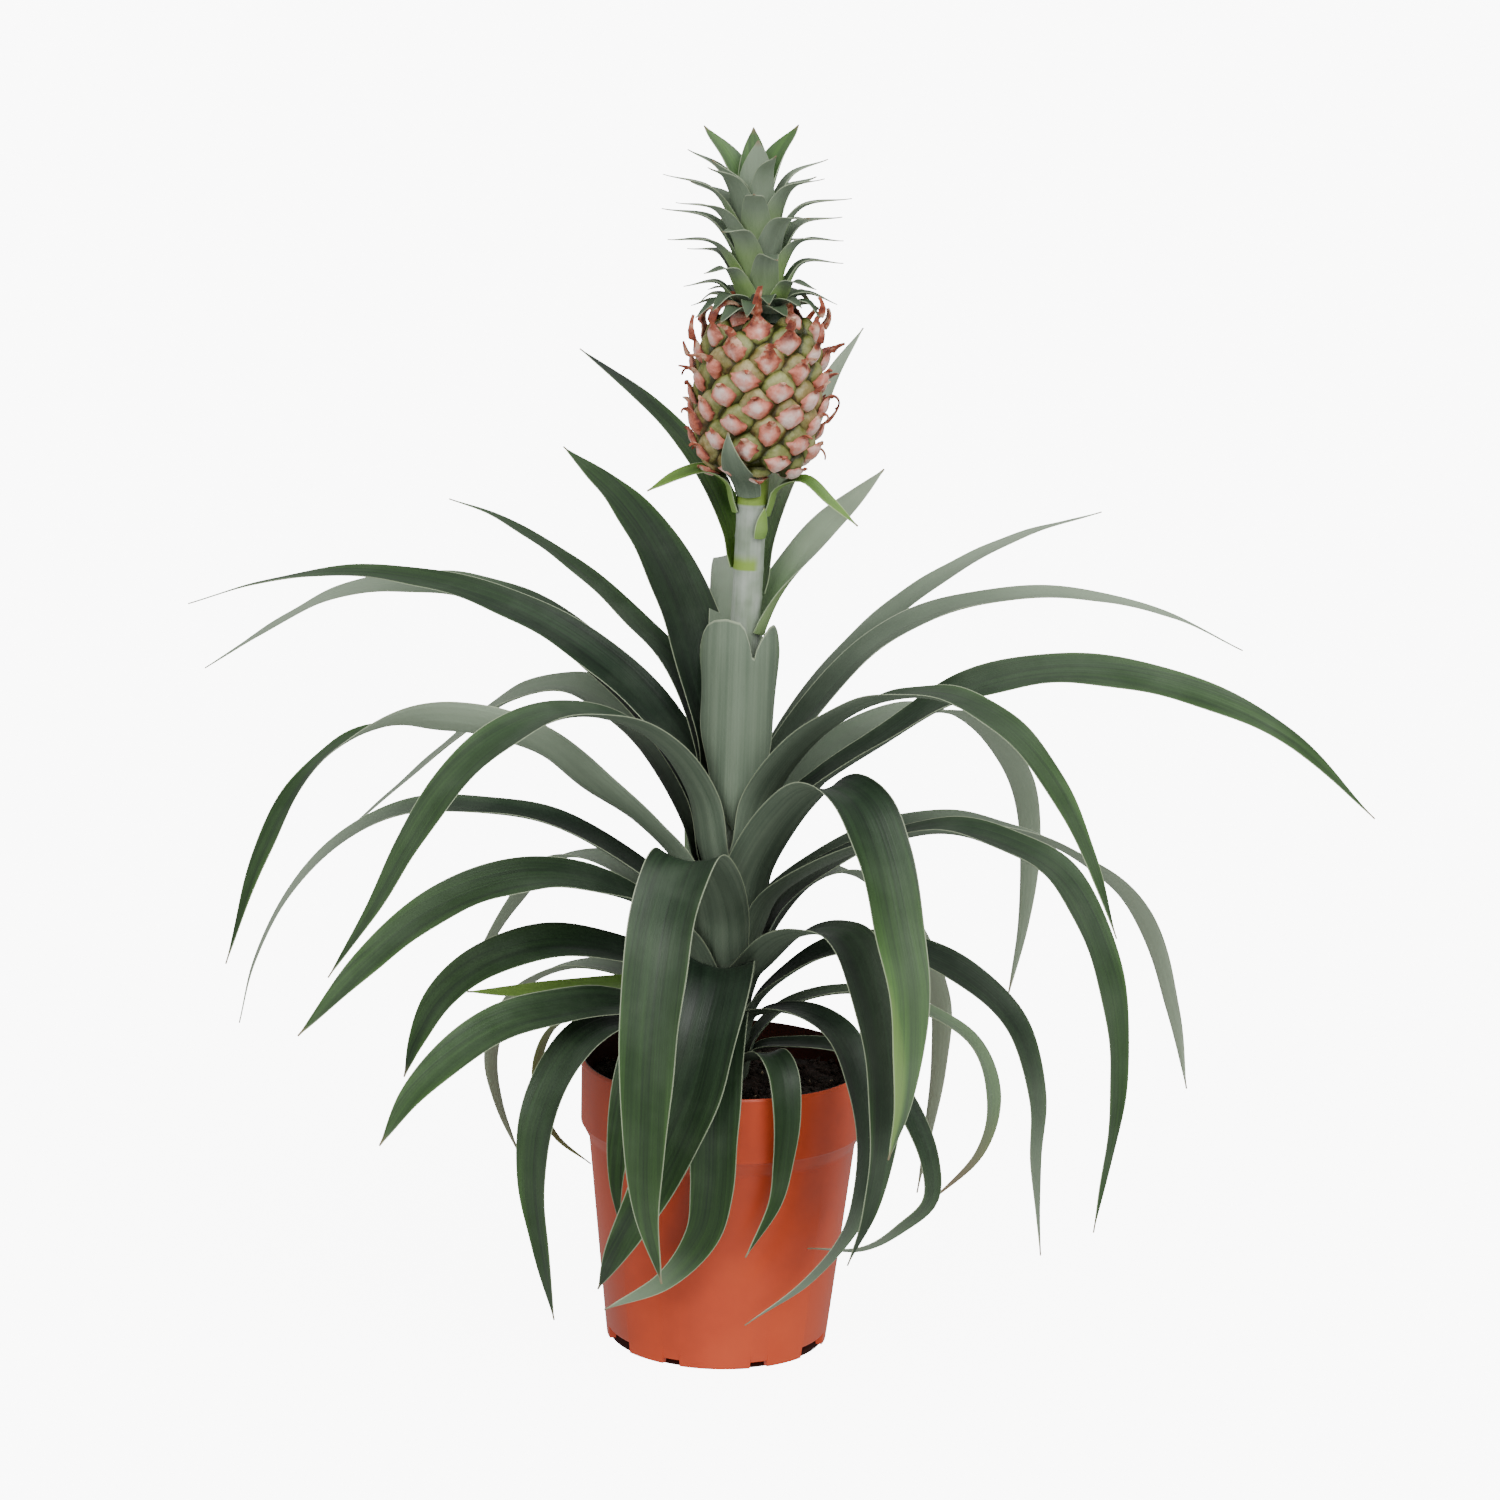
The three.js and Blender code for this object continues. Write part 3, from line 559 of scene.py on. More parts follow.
@dataclass(frozen=True)
class LeafShape:
    """One clasping leaf.

    Attributes:
        node: The CAD node that it stands for.
        azimuth: The side of the stem that it grows from, in degrees.
        root_height: The height of its root.
        width: Its widest width.
        points: What its midrib passes, as reach from the stem's axis, height and sideways swing.
        look: Its colouring.
        root, taper, sheath, channel: Its width at the root, how late it narrows, how long it
            clasps the stem and how openly it is folded.
        swell: The share of its length over which it widens from its root.
        edge: How wide its pale margin is, as a share of the usual.
        roll: Its turn about its own midrib, in degrees, at even stops along it.
    """

    node: str
    azimuth: float
    root_height: float
    width: float
    points: tuple[tuple[float, ...], ...]
    look: LeafLook = LeafLook.DEEP
    root: float = 0.85
    taper: float = 2.6
    sheath: float = 12
    channel: float = 0.9
    swell: float = 0.28
    edge: float = 1.0
    roll: tuple[float, ...] = (0,)

    def rib(self) -> Array:
        """What the midrib passes: out of the stem, up along the sheath, then the leaf's points.

        Returns:
            Rows of x, y and z, each reach r and swing w standing at r out + w side.
        """
        start = float(stem_radius(self.root_height)) + ROOT_GAP + (BLADE_EDGE + BLADE_RIB) / 2
        clasp = (start + SHEATH_SLOPE * self.sheath, self.root_height + self.sheath)
        stations = ((start, self.root_height), clasp, *self.points)
        rows = np.array([(*station, 0)[:3] for station in stations], float)
        axes = np.stack([self.out(), [0, 0, 1], self.side()])
        return self.foot() + rows @ axes

    def out(self) -> Array:
        """The unit direction that it grows in."""
        angle = math.radians(self.azimuth)
        return np.array([math.cos(angle), math.sin(angle), 0])

    def side(self) -> Array:
        """The unit direction of its width."""
        x, y, _ = self.out()
        return np.array([-y, x, 0])

    def foot(self) -> Array:
        """Where the stem's axis stands at its root, at height 0."""
        return np.array([stem_axis(self.root_height), 0, 0])

    def mesh(self, draw: Draw) -> Mesh:
        """Build the leaf with the same midline, width and fold as its solid.

        Formulas: the width is the widest width times a quarter sine wave that swells from the root
        times 1 - s to the power taper. The fold's radius blends the reach from the stem with a
        share of the width, each to the power -4. A margin waves by a fiftieth of the width.

        Args:
            draw: Seeded source of the small ripples.

        Returns:
            The closed mesh with its colouring on it.
        """
        midline = Midline(tuple(map(tuple, self.rib())))
        run = midline.read(np.array([1.0]))[2]
        lobed = self.taper > LOBED_TAPER
        wave = draw.uniform(0, 2 * np.pi, 4)[:2]
        pitch = draw.uniform(34, 60, 2)

        def half(s: Array) -> Array:
            """Work out half the width by the first formula.

            Args:
                s: Shares of the length.

            Returns:
                Half the width at each.
            """
            rising = np.sin(np.pi / 2 * np.minimum(1, s / self.swell))
            swelling = self.root + (1 - self.root) * rising
            narrowing = 1 - 0.1 * s ** 2 if lobed else 1 - s ** self.taper
            return np.maximum(TIP_WIDTH, self.width * swelling * narrowing) / 2

        def fold(s: Array, points: Array) -> Array:
            """The fold's radius: that of the stem's clasp, then that of the open channel."""
            reach = np.abs((points - self.foot()) @ self.out())
            return (reach ** -4.0 + (self.channel * self.width) ** -4.0) ** -0.25

        def thickness(s: Array, q: Array) -> Array:
            """The wall: thickest along the rib and near the root."""
            return (0.34 + 0.72 * (1 - np.abs(q) ** 3)) * (1 - 0.45 * s)

        def ripple(s: Array, q: Array, distance: Array) -> Array:
            """Add the margins' sine waves and a shallow bell-shaped groove along the rib.

            Args:
                s: Shares of the length.
                q: Places across, from -1 to 1.
                distance: The run from the root.

            Returns:
                How far the sheet is moved to its upper side.
            """
            left, right = (np.sin(2 * np.pi * distance / pitch[k] + wave[k]) for k in (0, 1))
            waving = 0.02 * self.width * np.abs(q) ** 3 * np.where(q > 0, left, right)
            groove = -0.012 * self.width * np.exp(-(q / 0.13) ** 2)
            return smooth_step(0.15, 0.45, s) * (1 - s) ** 0.5 * waving + (1 - s) * groove

        mesh = Blade(
            midline, self.side(), half, fold, thickness,
            lambda s: np.radians(eased(self.roll, s)), ripple,
            sheath_outline if lobed else np.ones_like,
            rows=int(np.clip(run / 2.6, 24, 130)), columns=45 if lobed else 21,
        ).mesh(phase=draw.uniform(0, 40))
        self.colour(mesh, withers=not lobed)
        return mesh

    def colour(self, mesh: Mesh, withers: bool) -> None:
        """Turn the leaf's tint into numbers on its vertices.

        Formulas: its green runs from base_green to tip_green, and 0.35 times the fourth power of
        the place across fresher at its margins. A lit margin is painted sunlight, a brighter green
        whose border moves across from one side to the other towards the tip. Its bloom is thinner
        near the root, as painted shade deep in the rosette, and thicker again in its tail.

        Args:
            mesh: The blade, whose share and across are used up.
            withers: Whether its tip dries.
        """
        tint = self.look.value
        share, across = mesh.values.pop("share"), mesh.values.pop("across")
        # Painted sunlight: on a leaf with a lit_side, the band along that margin gets the full tip
        # green.
        border = 0.7 - 1.4 * smooth_step(0.5, 0.92, share)
        near = 1.0
        if tint.lit_side:
            near = smooth_step(border, border + 1.1, tint.lit_side * across)
        lit = near * (tint.tip_green - tint.base_green) + 0.6 * (1 - near) + 0.35 * across ** 4
        below = tint.under_bloom * (1 - mesh.values["upper_side"])
        # Painted shade: near the root the bloom is cut to 0.4 of itself, so each leaf is darker
        # deep in the rosette.
        shaded = 0.4 + 0.6 * smooth_step(0.2, 0.5, share)
        tail = smooth_step(tint.tail_from, (tint.tail_from + 1.3) / 2, share)
        mesh.values["bloom"] = (tint.bloom + below) * shaded + tint.tail_bloom * tail
        mesh.values["fresh"] = tint.base_green + lit * smooth_step(tint.lit_from, 0.95, share)
        mesh.values["dry"] = withers * smooth_step(tint.dry_from, 1, share)
        mesh.values["margin_gap"] /= self.edge


def sheath_outline(q: Array) -> Array:
    """Outline the erect sheath's top: two rounded lobes and a notch, read between marks.

    Args:
        q: The place across, from -1 to 1.

    Returns:
        What share of the sheath's length it reaches there.
    """
    marks = (-1, -0.94, -0.85, -0.7, -0.5, -0.25, 0, 0.1, 0.18, 0.25, 0.32, 0.42, 0.6, 0.75, 0.88,
             0.95, 1)
    reach = (0.8, 0.87, 0.925, 0.965, 0.99, 1, 0.985, 0.955, 0.89, 0.8, 0.865, 0.915, 0.965, 0.975,
             0.945, 0.9, 0.84)
    return np.interp(q, marks, reach)


# The leaves from the lowest to the highest, as reach from the axis, height and sideways swing

ROSETTE = (
    LeafShape("leaf_01", 294, 110.5, 16,
              ((34, 130), (51, 136), (62, 131), (67, 115), (65, 96), (63, 77, -2), (60, 54, -13))),
    LeafShape("leaf_02", 160, 110.5, 16,
              ((34, 129), (54, 133), (74, 126), (82, 111), (82, 91), (74, 76), (58, 66)),
              look=LeafLook.OLIVE),
    LeafShape("leaf_03", 350, 113.5, 13,
              ((30, 129), (50, 129), (64, 125), (79, 106), (89, 84), (90, 66), (79, 55, -6),
               (66, 50, -21), (46, 55, -42)),
              roll=(0, 10, 45, 50, 50), look=LeafLook.TAILED),
    LeafShape("leaf_04", 222, 115, 26,
              ((35, 139), (58, 145), (75, 141), (88, 129), (98, 109), (100, 87), (96, 58),
               (88, 24)),
              taper=3.4, look=LeafLook.FRESH),
    LeafShape("leaf_05", 100, 116, 22,
              ((30, 140), (58, 145), (88, 133), (104, 104), (108, 70), (104, 42)),
              root=0.6),
    LeafShape("leaf_06", 12, 118, 13,
              ((28, 143), (56, 148), (90, 137), (109, 123), (118, 99), (113, 75), (93, 54)),
              roll=(0, 0, 15, 50, 50), taper=6.0, look=LeafLook.TAIL),
    LeafShape("leaf_07", 215, 119.5, 25,
              ((30, 143), (57, 151), (83, 152), (108, 150), (132, 140), (151, 126), (165, 108)),
              roll=(0, -20, -25), taper=4.2, look=LeafLook.FRESH),
    LeafShape("leaf_08", 148, 123.5, 21,
              ((28, 144), (55, 149), (76, 147), (97, 137), (111, 121), (118, 100), (114, 79),
               (103, 58)),
              look=LeafLook.PALE),
    LeafShape("leaf_09", 268, 124, 25,
              ((29, 146), (50, 147), (62, 133), (67, 110), (68, 85), (66, 66, -3), (62, 44, -18),
               (60, 29, -43)),
              look=LeafLook.TIPPED),
    LeafShape("leaf_10", 178, 127.5, 16,
              ((28, 150), (50, 150), (70, 148), (89, 146), (108, 145)),
              roll=(0, -12, -40), look=LeafLook.LIME),
    LeafShape("leaf_11", 315, 128.5, 20,
              ((30, 148), (51, 150), (69, 144), (80, 126), (85, 98), (78, 68), (67, 44, -13),
               (56, 27, -38)),
              look=LeafLook.TAILED),
    LeafShape("leaf_12", 243, 132, 20,
              ((27, 153), (46, 158), (60, 149, -2), (70, 130, -5), (73, 107, -8), (72, 84, -10),
               (66, 63, -11))),
    LeafShape("leaf_13", 348, 134, 20,
              ((25, 158), (44, 171), (68, 175), (98, 167), (123, 146), (133, 116), (134, 87),
               (138, 48)),
              roll=(0, 15, 25, 30, 20), look=LeafLook.TAILED),
    LeafShape("leaf_14", 198, 136, 27,
              ((25, 159), (50, 169), (78, 173), (105, 166), (122, 153), (132, 136), (137, 121)),
              roll=(0, -20, -25), taper=4.5),
    LeafShape("leaf_15", 96, 137.5, 24,
              ((28, 168), (55, 184), (90, 180), (118, 155), (132, 115), (135, 75)),
              root=0.6),
    LeafShape("leaf_16", 260, 140.5, 30,
              ((21, 160, 2), (34, 169, 4), (47, 167, 6), (62, 153, 5), (72, 124), (78, 87, -14),
               (75, 58, -28), (58, 35, -39)),
              edge=1.25),
    LeafShape("leaf_17", 140, 142, 22,
              ((25, 170), (50, 188), (80, 193), (104, 185), (120, 166), (138, 142), (150, 120)),
              look=LeafLook.PALE),
    LeafShape("leaf_18", 309, 145, 28,
              ((21, 164), (40, 181), (61, 189), (77, 189), (89, 176), (98, 157), (104, 120),
               (98, 82), (85, 54)),
              edge=1.25, look=LeafLook.SILVER),
    LeafShape("leaf_19", 48, 149, 20,
              ((24, 175), (43, 188), (69, 190), (97, 177), (122, 151), (141, 118), (142, 90),
               (137, 59), (131, 32)),
              look=LeafLook.PALE),
    LeafShape("leaf_20", 205, 149.5, 29,
              ((24, 179), (50, 196), (87, 205), (127, 197), (159, 176), (188, 148)),
              roll=(0, -18, -32), taper=3.2, look=LeafLook.FRESH),
    LeafShape("leaf_21", 172, 155.5, 22,
              ((22, 186), (43, 202), (73, 217), (99, 221), (136, 219), (164, 205), (189, 177),
               (203, 147), (209, 121)),
              roll=(0, -20), look=LeafLook.BLEACHED),
    LeafShape("leaf_22", 27, 155, 26,
              ((23, 185), (48, 201), (78, 212), (106, 214), (134, 208), (166, 194), (201, 166),
               (221, 121), (231, 82)),
              roll=(0, 0, 0, -15, -35), look=LeafLook.MISTED),
    LeafShape("leaf_23", 253, 159, 31,
              ((18, 186), (37, 208), (61, 219), (84, 203), (98, 165), (102, 125), (99, 85),
               (92, 52, 5)),
              taper=3.4, edge=1.35, look=LeafLook.FRESH),
    LeafShape("leaf_24", 338, 165, 29,
              ((21, 193), (41, 209), (70, 223), (96, 230), (120, 227), (144, 216), (165, 179),
               (172, 132), (165, 70)),
              roll=(0, 0, 15, 15), look=LeafLook.FRESH),
    LeafShape("leaf_25", 96, 164, 24,
              ((24, 200), (48, 220), (90, 225), (130, 203), (155, 163), (165, 120)),
              root=0.7),
    LeafShape("leaf_26", 188, 168, 28,
              ((21, 203), (38, 222), (58, 237), (79, 254), (104, 263), (135, 265), (161, 256),
               (179, 238), (194, 209), (208, 163)),
              roll=(0, 15, 35, 45, 0, -35, -35), edge=1.25, look=LeafLook.FOLDED),
    LeafShape("leaf_27", 308, 172.5, 33,
              ((18, 203), (39, 233), (61, 249), (82, 246), (96, 229), (108, 201), (116, 178),
               (118, 154), (116, 129), (109, 106)),
              taper=3.4, edge=1.35, look=LeafLook.LIT),
    LeafShape("leaf_28", 52, 178, 26,
              ((22, 211), (47, 230), (80, 244), (115, 250), (153, 246), (184, 230), (209, 206),
               (219, 176), (217, 138), (207, 104)),
              look=LeafLook.PALE),
    LeafShape("leaf_29", 140, 183, 26,
              ((21, 220), (46, 249), (88, 265), (124, 256), (155, 235), (186, 211), (226, 179)),
              roll=(0, -8, -28, -35), look=LeafLook.PALE),
    LeafShape("leaf_30", 354, 186, 29,
              ((19, 223), (36, 241), (60, 259), (93, 282), (135, 293), (184, 288), (226, 271),
               (263, 239)),
              roll=(0, 5, 22, 32, 28), look=LeafLook.FRESH),
    LeafShape("leaf_31", 95, 190, 24,
              ((20.5, 227), (45, 254), (80, 269), (120, 257), (150, 220), (168, 168)),
              root=0.5),
    LeafShape("leaf_32", 145, 195, 23,
              ((19, 230), (41, 258), (71, 279), (105, 296), (147, 302), (174, 300), (212, 292),
               (245, 276), (294, 246)),
              roll=(0, -15, -28, -35), look=LeafLook.BLEACHED),
    LeafShape("leaf_33", 212, 200, 30,
              ((19.6, 235), (35, 257), (56, 270), (84, 275), (111, 267), (133, 251), (151, 228),
               (168, 202), (186, 178)),
              roll=(0, 0, -10, -10), root=0.8, look=LeafLook.FRESH),
    LeafShape("leaf_34", 322, 204.5, 30,
              ((18, 235), (33, 257), (53, 274), (76, 286), (105, 291), (133, 284), (156, 267),
               (176, 240), (191, 209)),
              edge=1.25, look=LeafLook.FRESH),
    LeafShape("leaf_35", 158, 206, 28,
              ((19.4, 240), (34, 260), (56, 279), (95, 299), (137, 309), (182, 310), (225, 301),
               (258, 289)),
              roll=(0, -15, -10, 0), root=0.78),
    LeafShape("leaf_36", 27, 210.5, 22,
              ((19, 244), (38, 270), (65, 294), (99, 307), (152, 310), (207, 298), (246, 280)),
              roll=(0, 0, 5, 15, 15), look=LeafLook.MISTED),
    LeafShape("leaf_37", 135, 212, 17,
              ((17.6, 248), (35, 279), (61, 296), (101, 315), (153, 330), (183, 333)),
              look=LeafLook.FRESH),
    LeafShape("leaf_38", 50, 200.5, 17,
              ((23, 239), (46, 264), (78, 286), (116, 304), (185, 321), (251, 326)),
              root=0.75, look=LeafLook.MISTED),
    LeafShape("leaf_39", 121, 221.5, 29,
              ((16, 255), (26.5, 277), (40, 298), (62, 320), (99, 341), (156, 357)),
              roll=(0, -12, -12)),
    LeafShape("leaf_40", 269, 222, 50,
              ((14.5, 250), (16, 275), (16.6, 296), (15.4, 311)),
              root=0.05, taper=40, channel=0.6, swell=0.8, edge=2.2, look=LeafLook.SILVER),
    LeafShape("leaf_41", 93, 229.5, 26,
              ((13.4, 262), (24, 287), (43, 308), (80, 318), (130, 311), (170, 289)),
              sheath=6, root=0.5, roll=(0, -25, -25), look=LeafLook.PALE),
)

BARE_STEM_LEAVES = (
    LeafShape("stem_leaf_1", 15, 302, 25,
              ((14, 319), (22, 332), (33, 346), (45, 358), (57, 370)),
              sheath=6, taper=2.2, roll=(0, 35), look=LeafLook.WAXY),
    LeafShape("stem_leaf_2", 62, 318, 15,
              ((11.5, 338), (20, 353), (33, 367), (49, 382), (73, 404), (97, 419)),
              sheath=6, look=LeafLook.WAXY),
    LeafShape("stem_leaf_3", 130, 329, 16,
              ((11, 342), (19.5, 355), (38, 372), (74, 391), (116, 406)),
              sheath=5, look=LeafLook.SHOOT),
    LeafShape("stem_leaf_4", 340, 352, 8,
              ((11, 363), (22, 368), (34, 360), (46, 351)),
              sheath=5, roll=(0, 45), look=LeafLook.BRIGHT),
    LeafShape("stem_leaf_5", 187, 353, 10,
              ((11, 365), (19, 370), (30, 368), (43, 361)),
              sheath=5, roll=(0, -45), look=LeafLook.BRIGHT),
    LeafShape("stem_leaf_6", 252, 360, 14,
              ((12, 366), (24, 373), (32, 382), (34, 390)),
              sheath=2, look=LeafLook.SILVER),
    LeafShape("stem_leaf_7", 305, 343, 7,
              ((8.6, 350), (9.4, 356)),
              sheath=3, look=LeafLook.BRIGHT),
)


# Finishes

BLEND = {"data_type": "RGBA", "output": 2}
SOFT_STEP = {"interpolation_type": "SMOOTHSTEP"}
OBJECT_PLACE = {"output": 3}


@dataclass(frozen=True)
class LeafFinish:
    """A living leaf of this plant: a smooth, leathery skin under a thin bloom of scales.

    The upper side is a satin dark green with parallel veins about a millimetre apart, the underside
    is silvery with scales, the margin is a thin pale line and the tip dries to a grey brown.
    """

    name: str = "living_leaf_skin"
    deep: str = "0b1710"
    deep_vein: str = "192a1f"
    green: str = "294c19"
    green_vein: str = "4b7a26"
    # lit: a bright lime green, young growth's own colour, and on a LIT leaf painted sunlight.
    lit: str = "83a945"
    silver: str = "74836f"
    silver_shade: str = "586856"
    pale: str = "a2b39a"
    margin: str = "c3cfae"
    dry: str = "8d7b5f"
    vein: tuple[float, float] = (1.0, 90.0)
    band: tuple[float, float] = (4.0, 30.0)
    blotch_size: float = 22.22
    margin_line: tuple[float, float] = (0.12, 0.45)
    upper_roughness: float = 0.38
    under_roughness: float = 0.6

    def build(self) -> bpy.types.Material:
        """Wire the material from the blade's own surface coordinates and numbers.

        Returns:
            The leaf's material.
        """
        g = Graph(self.name)
        number = {key: g.node("Attribute", {"attribute_name": key, "output": 2})
                  for key in ("upper_side", "margin_gap", "bloom", "fresh", "dry")}
        flat = g.node("UVMap", {"uv_map": "along_blade"})
        streaks = []
        for pitch, stretch in (self.vein, self.band):
            scale = (UV_UNIT / pitch, UV_UNIT / (pitch * stretch), 1)
            drawn = g.node("Mapping", inputs={"Vector": flat, "Scale": scale})
            streaks.append(g.node("TexNoise", {"noise_dimensions": "2D"}, {
                "Vector": drawn, "Scale": 1.0, "Detail": 2.0, "Roughness": 0.5}))
        veins, bands = streaks
        place = g.node("TexCoord", OBJECT_PLACE)
        blotches = g.node("TexNoise", inputs={
            "Vector": place, "Scale": cells(self.blotch_size), "Detail": 3.0})
        grain = g.node("Math", {"operation": "MULTIPLY_ADD"}, {0: veins, 1: 0.7, 2: bands})
        streaked = g.node("MapRange", inputs={0: grain, 1: 0.55, 2: 1.15})
        deep, green, silver = (
            g.node("Mix", BLEND, {0: streaked, 6: linear(low), 7: linear(high)}) for low, high in (
                (self.deep, self.deep_vein), (self.green, self.green_vein),
                (self.silver_shade, self.silver)))
        fresh, lit = number["fresh"], linear(self.lit)
        glow = g.node("MapRange", inputs={0: fresh, 1: 1.0, 2: 1.7})
        under_green = g.node("MapRange", inputs={0: fresh, 1: 0.25, 2: 1.2})
        dust = g.node("MapRange", inputs={0: blotches, 1: 0.35, 2: 0.7, 3: -0.02, 4: 0.05})
        bloom = g.node("Math", {"operation": "ADD", "use_clamp": True}, {
            0: dust, 1: number["bloom"]})
        near, far = self.margin_line
        edge = g.node("MapRange", SOFT_STEP, {
            0: number["margin_gap"], 1: near, 2: far, 3: 0.55, 4: 0.0})
        bright = g.node("Mix", BLEND, {0: glow, 6: green, 7: lit})
        upper = g.node("Mix", BLEND, {0: fresh, 6: deep, 7: bright})
        under = g.node("Mix", BLEND, {0: under_green, 6: silver, 7: lit})
        colour = g.node("Mix", BLEND, {0: number["upper_side"], 6: under, 7: upper})
        for share, cover in ((bloom, self.pale), (edge, self.margin), (number["dry"], self.dry)):
            colour = g.node("Mix", BLEND, {0: share, 6: colour, 7: linear(cover)})
        rough = g.node("MapRange", inputs={
            0: number["upper_side"], 3: self.under_roughness, 4: self.upper_roughness})
        rougher = g.node("Math", {"operation": "MULTIPLY_ADD"}, {0: bands, 1: 0.2, 2: rough})
        relief = g.node("Bump", inputs={"Strength": 0.4, "Distance": 0.4 * MM, "Height": grain})
        return g.surface({"Base Color": colour, "Roughness": rougher, "Normal": relief,
                          "Specular IOR Level": 0.4})


@dataclass(frozen=True)
class StemFinish:
    """The bare stem: pale green skin under a white waxy bloom.

    It is rubbed clear just below the fruit and over the highest long leaf's root.
    """

    name: str = "waxy_stem_skin"
    bloom: str = "b3bdb0"
    skin: str = "8a9a83"
    clear: str = "8aa945"
    streak_size: tuple[float, float] = (2.857, 40.0)
    cloud_size: float = 11.11
    clear_from: float = 356.5
    clear_to: float = 369.0
    node_from: float = 329.0
    node_to: float = 337.0
    node_side: float = 5.5

    def build(self) -> bpy.types.Material:
        """Wire the bloom's soft vertical streaks and the two clear bands by height.

        Returns:
            The stem's material.
        """
        g = Graph(self.name)
        place = g.node("TexCoord", OBJECT_PLACE)
        across, along = (cells(size) for size in self.streak_size)
        drawn = g.node("Mapping", inputs={"Vector": place, "Scale": (across, across, along)})
        streak = g.node("TexNoise", inputs={"Vector": drawn, "Scale": 1.0, "Detail": 3.0})
        cloud = g.node("TexNoise", inputs={
            "Vector": place, "Scale": cells(self.cloud_size), "Detail": 3.0})
        mixed = g.node("Math", {"operation": "MULTIPLY"}, {0: streak, 1: cloud})
        share = g.node("MapRange", inputs={0: mixed, 1: 0.14, 2: 0.36})
        waxed = g.node("Mix", BLEND, {0: share, 6: linear(self.skin), 7: linear(self.bloom)})
        x, z = (g.node("SeparateXYZ", {"output": axis}, {0: place}) for axis in (0, 2))
        top_from, top_to, ring_from, ring_to, beside = (
            g.node("MapRange", SOFT_STEP, {
                0: where, 1: low * MM, 2: high * MM, 3: float(falls), 4: float(not falls)})
            for where, low, high, falls in (
                (z, self.clear_from - 0.6, self.clear_from + 0.6, False),
                (z, self.clear_to - 3, self.clear_to, True),
                (z, self.node_from, self.node_from + 1, False),
                (z, self.node_to - 5, self.node_to, True),
                (x, self.node_side, self.node_side + 3, True)))
        top_band = g.node("Math", {"operation": "MULTIPLY"}, {0: top_from, 1: top_to})
        ring = g.node("Math", {"operation": "MULTIPLY"}, {0: ring_from, 1: ring_to})
        node = g.node("Math", {"operation": "MULTIPLY"}, {0: ring, 1: beside})
        band = g.node("Math", {"operation": "MAXIMUM"}, {0: top_band, 1: node})
        colour = g.node("Mix", BLEND, {0: band, 6: waxed, 7: linear(self.clear)})
        relief = g.node("Bump", inputs={"Strength": 0.25, "Distance": 0.3 * MM, "Height": streak})
        return g.surface({"Base Color": colour, "Roughness": 0.62, "Normal": relief})


@dataclass(frozen=True)
class PotFinish:
    """Moulded polypropylene coloured as terracotta: a satin skin with a faint cloudy pigment."""

    name: str = "moulded_terracotta_polypropylene"
    body: str = "cb4b28"
    bright: str = "d7552f"
    dull: str = "b24225"
    # peat: the inner wall's dark colour, painted shade with some peat stain.
    peat: str = "1f130e"
    cloud_size: float = 55.56
    grain_size: float = 0.7143
    shade_and_stain_radius: tuple[float, float] = (59.0, 59.4)
    shade_and_stain_height: tuple[float, float] = (95.0, 98.0)
    shade_and_stain_share: float = 0.93
    roughness: tuple[float, float] = (0.34, 0.48)

    def build(self) -> bpy.types.Material:
        """Wire the pigment's clouds, the mould's fine grain and the inner wall's painted shade and
        peat.

        Returns:
            The pot's material.
        """
        g = Graph(self.name)
        place = g.node("TexCoord", OBJECT_PLACE)
        cloud = g.node("TexNoise", inputs={
            "Vector": place, "Scale": cells(self.cloud_size), "Detail": 4.0})
        tone = g.node("ValToRGB", {"stops": [
            (0.3, self.dull), (0.5, self.body), (0.72, self.bright)]}, {0: cloud})
        grain = g.node("TexNoise", inputs={
            "Vector": place, "Scale": cells(self.grain_size), "Detail": 1.0})
        smooth, dull = self.roughness
        rough = g.node("MapRange", inputs={0: cloud, 1: 0.3, 2: 0.7, 3: smooth, 4: dull})
        relief = g.node("Bump", inputs={"Strength": 0.12, "Distance": 0.2 * MM, "Height": grain})
        # Painted shade with some peat stain: the inner wall above the soil is darkened to the peat
        # colour.
        level = g.node("Mapping", inputs={"Vector": place, "Scale": (1.0, 1.0, 0.0)})
        radius = g.node("VectorMath", {"operation": "LENGTH", "output": 1}, {0: level})
        height = g.node("SeparateXYZ", {"output": 2}, {0: place})
        inside, outside = self.shade_and_stain_radius
        inner = g.node("MapRange", inputs={
            0: radius, 1: inside * MM, 2: outside * MM, 3: self.shade_and_stain_share, 4: 0.0})
        low, high = self.shade_and_stain_height
        above = g.node("MapRange", inputs={0: height, 1: low * MM, 2: high * MM})
        shade_and_stain_mask = g.node("Math", {"operation": "MULTIPLY"}, {0: inner, 1: above})
        shaded_and_stained_colour = g.node("Mix", BLEND, {0: shade_and_stain_mask, 6: tone, 7: linear(self.peat)})
        return g.surface({"Base Color": shaded_and_stained_colour, "Roughness": rough, "Normal": relief,
                          "Specular IOR Level": 0.4})


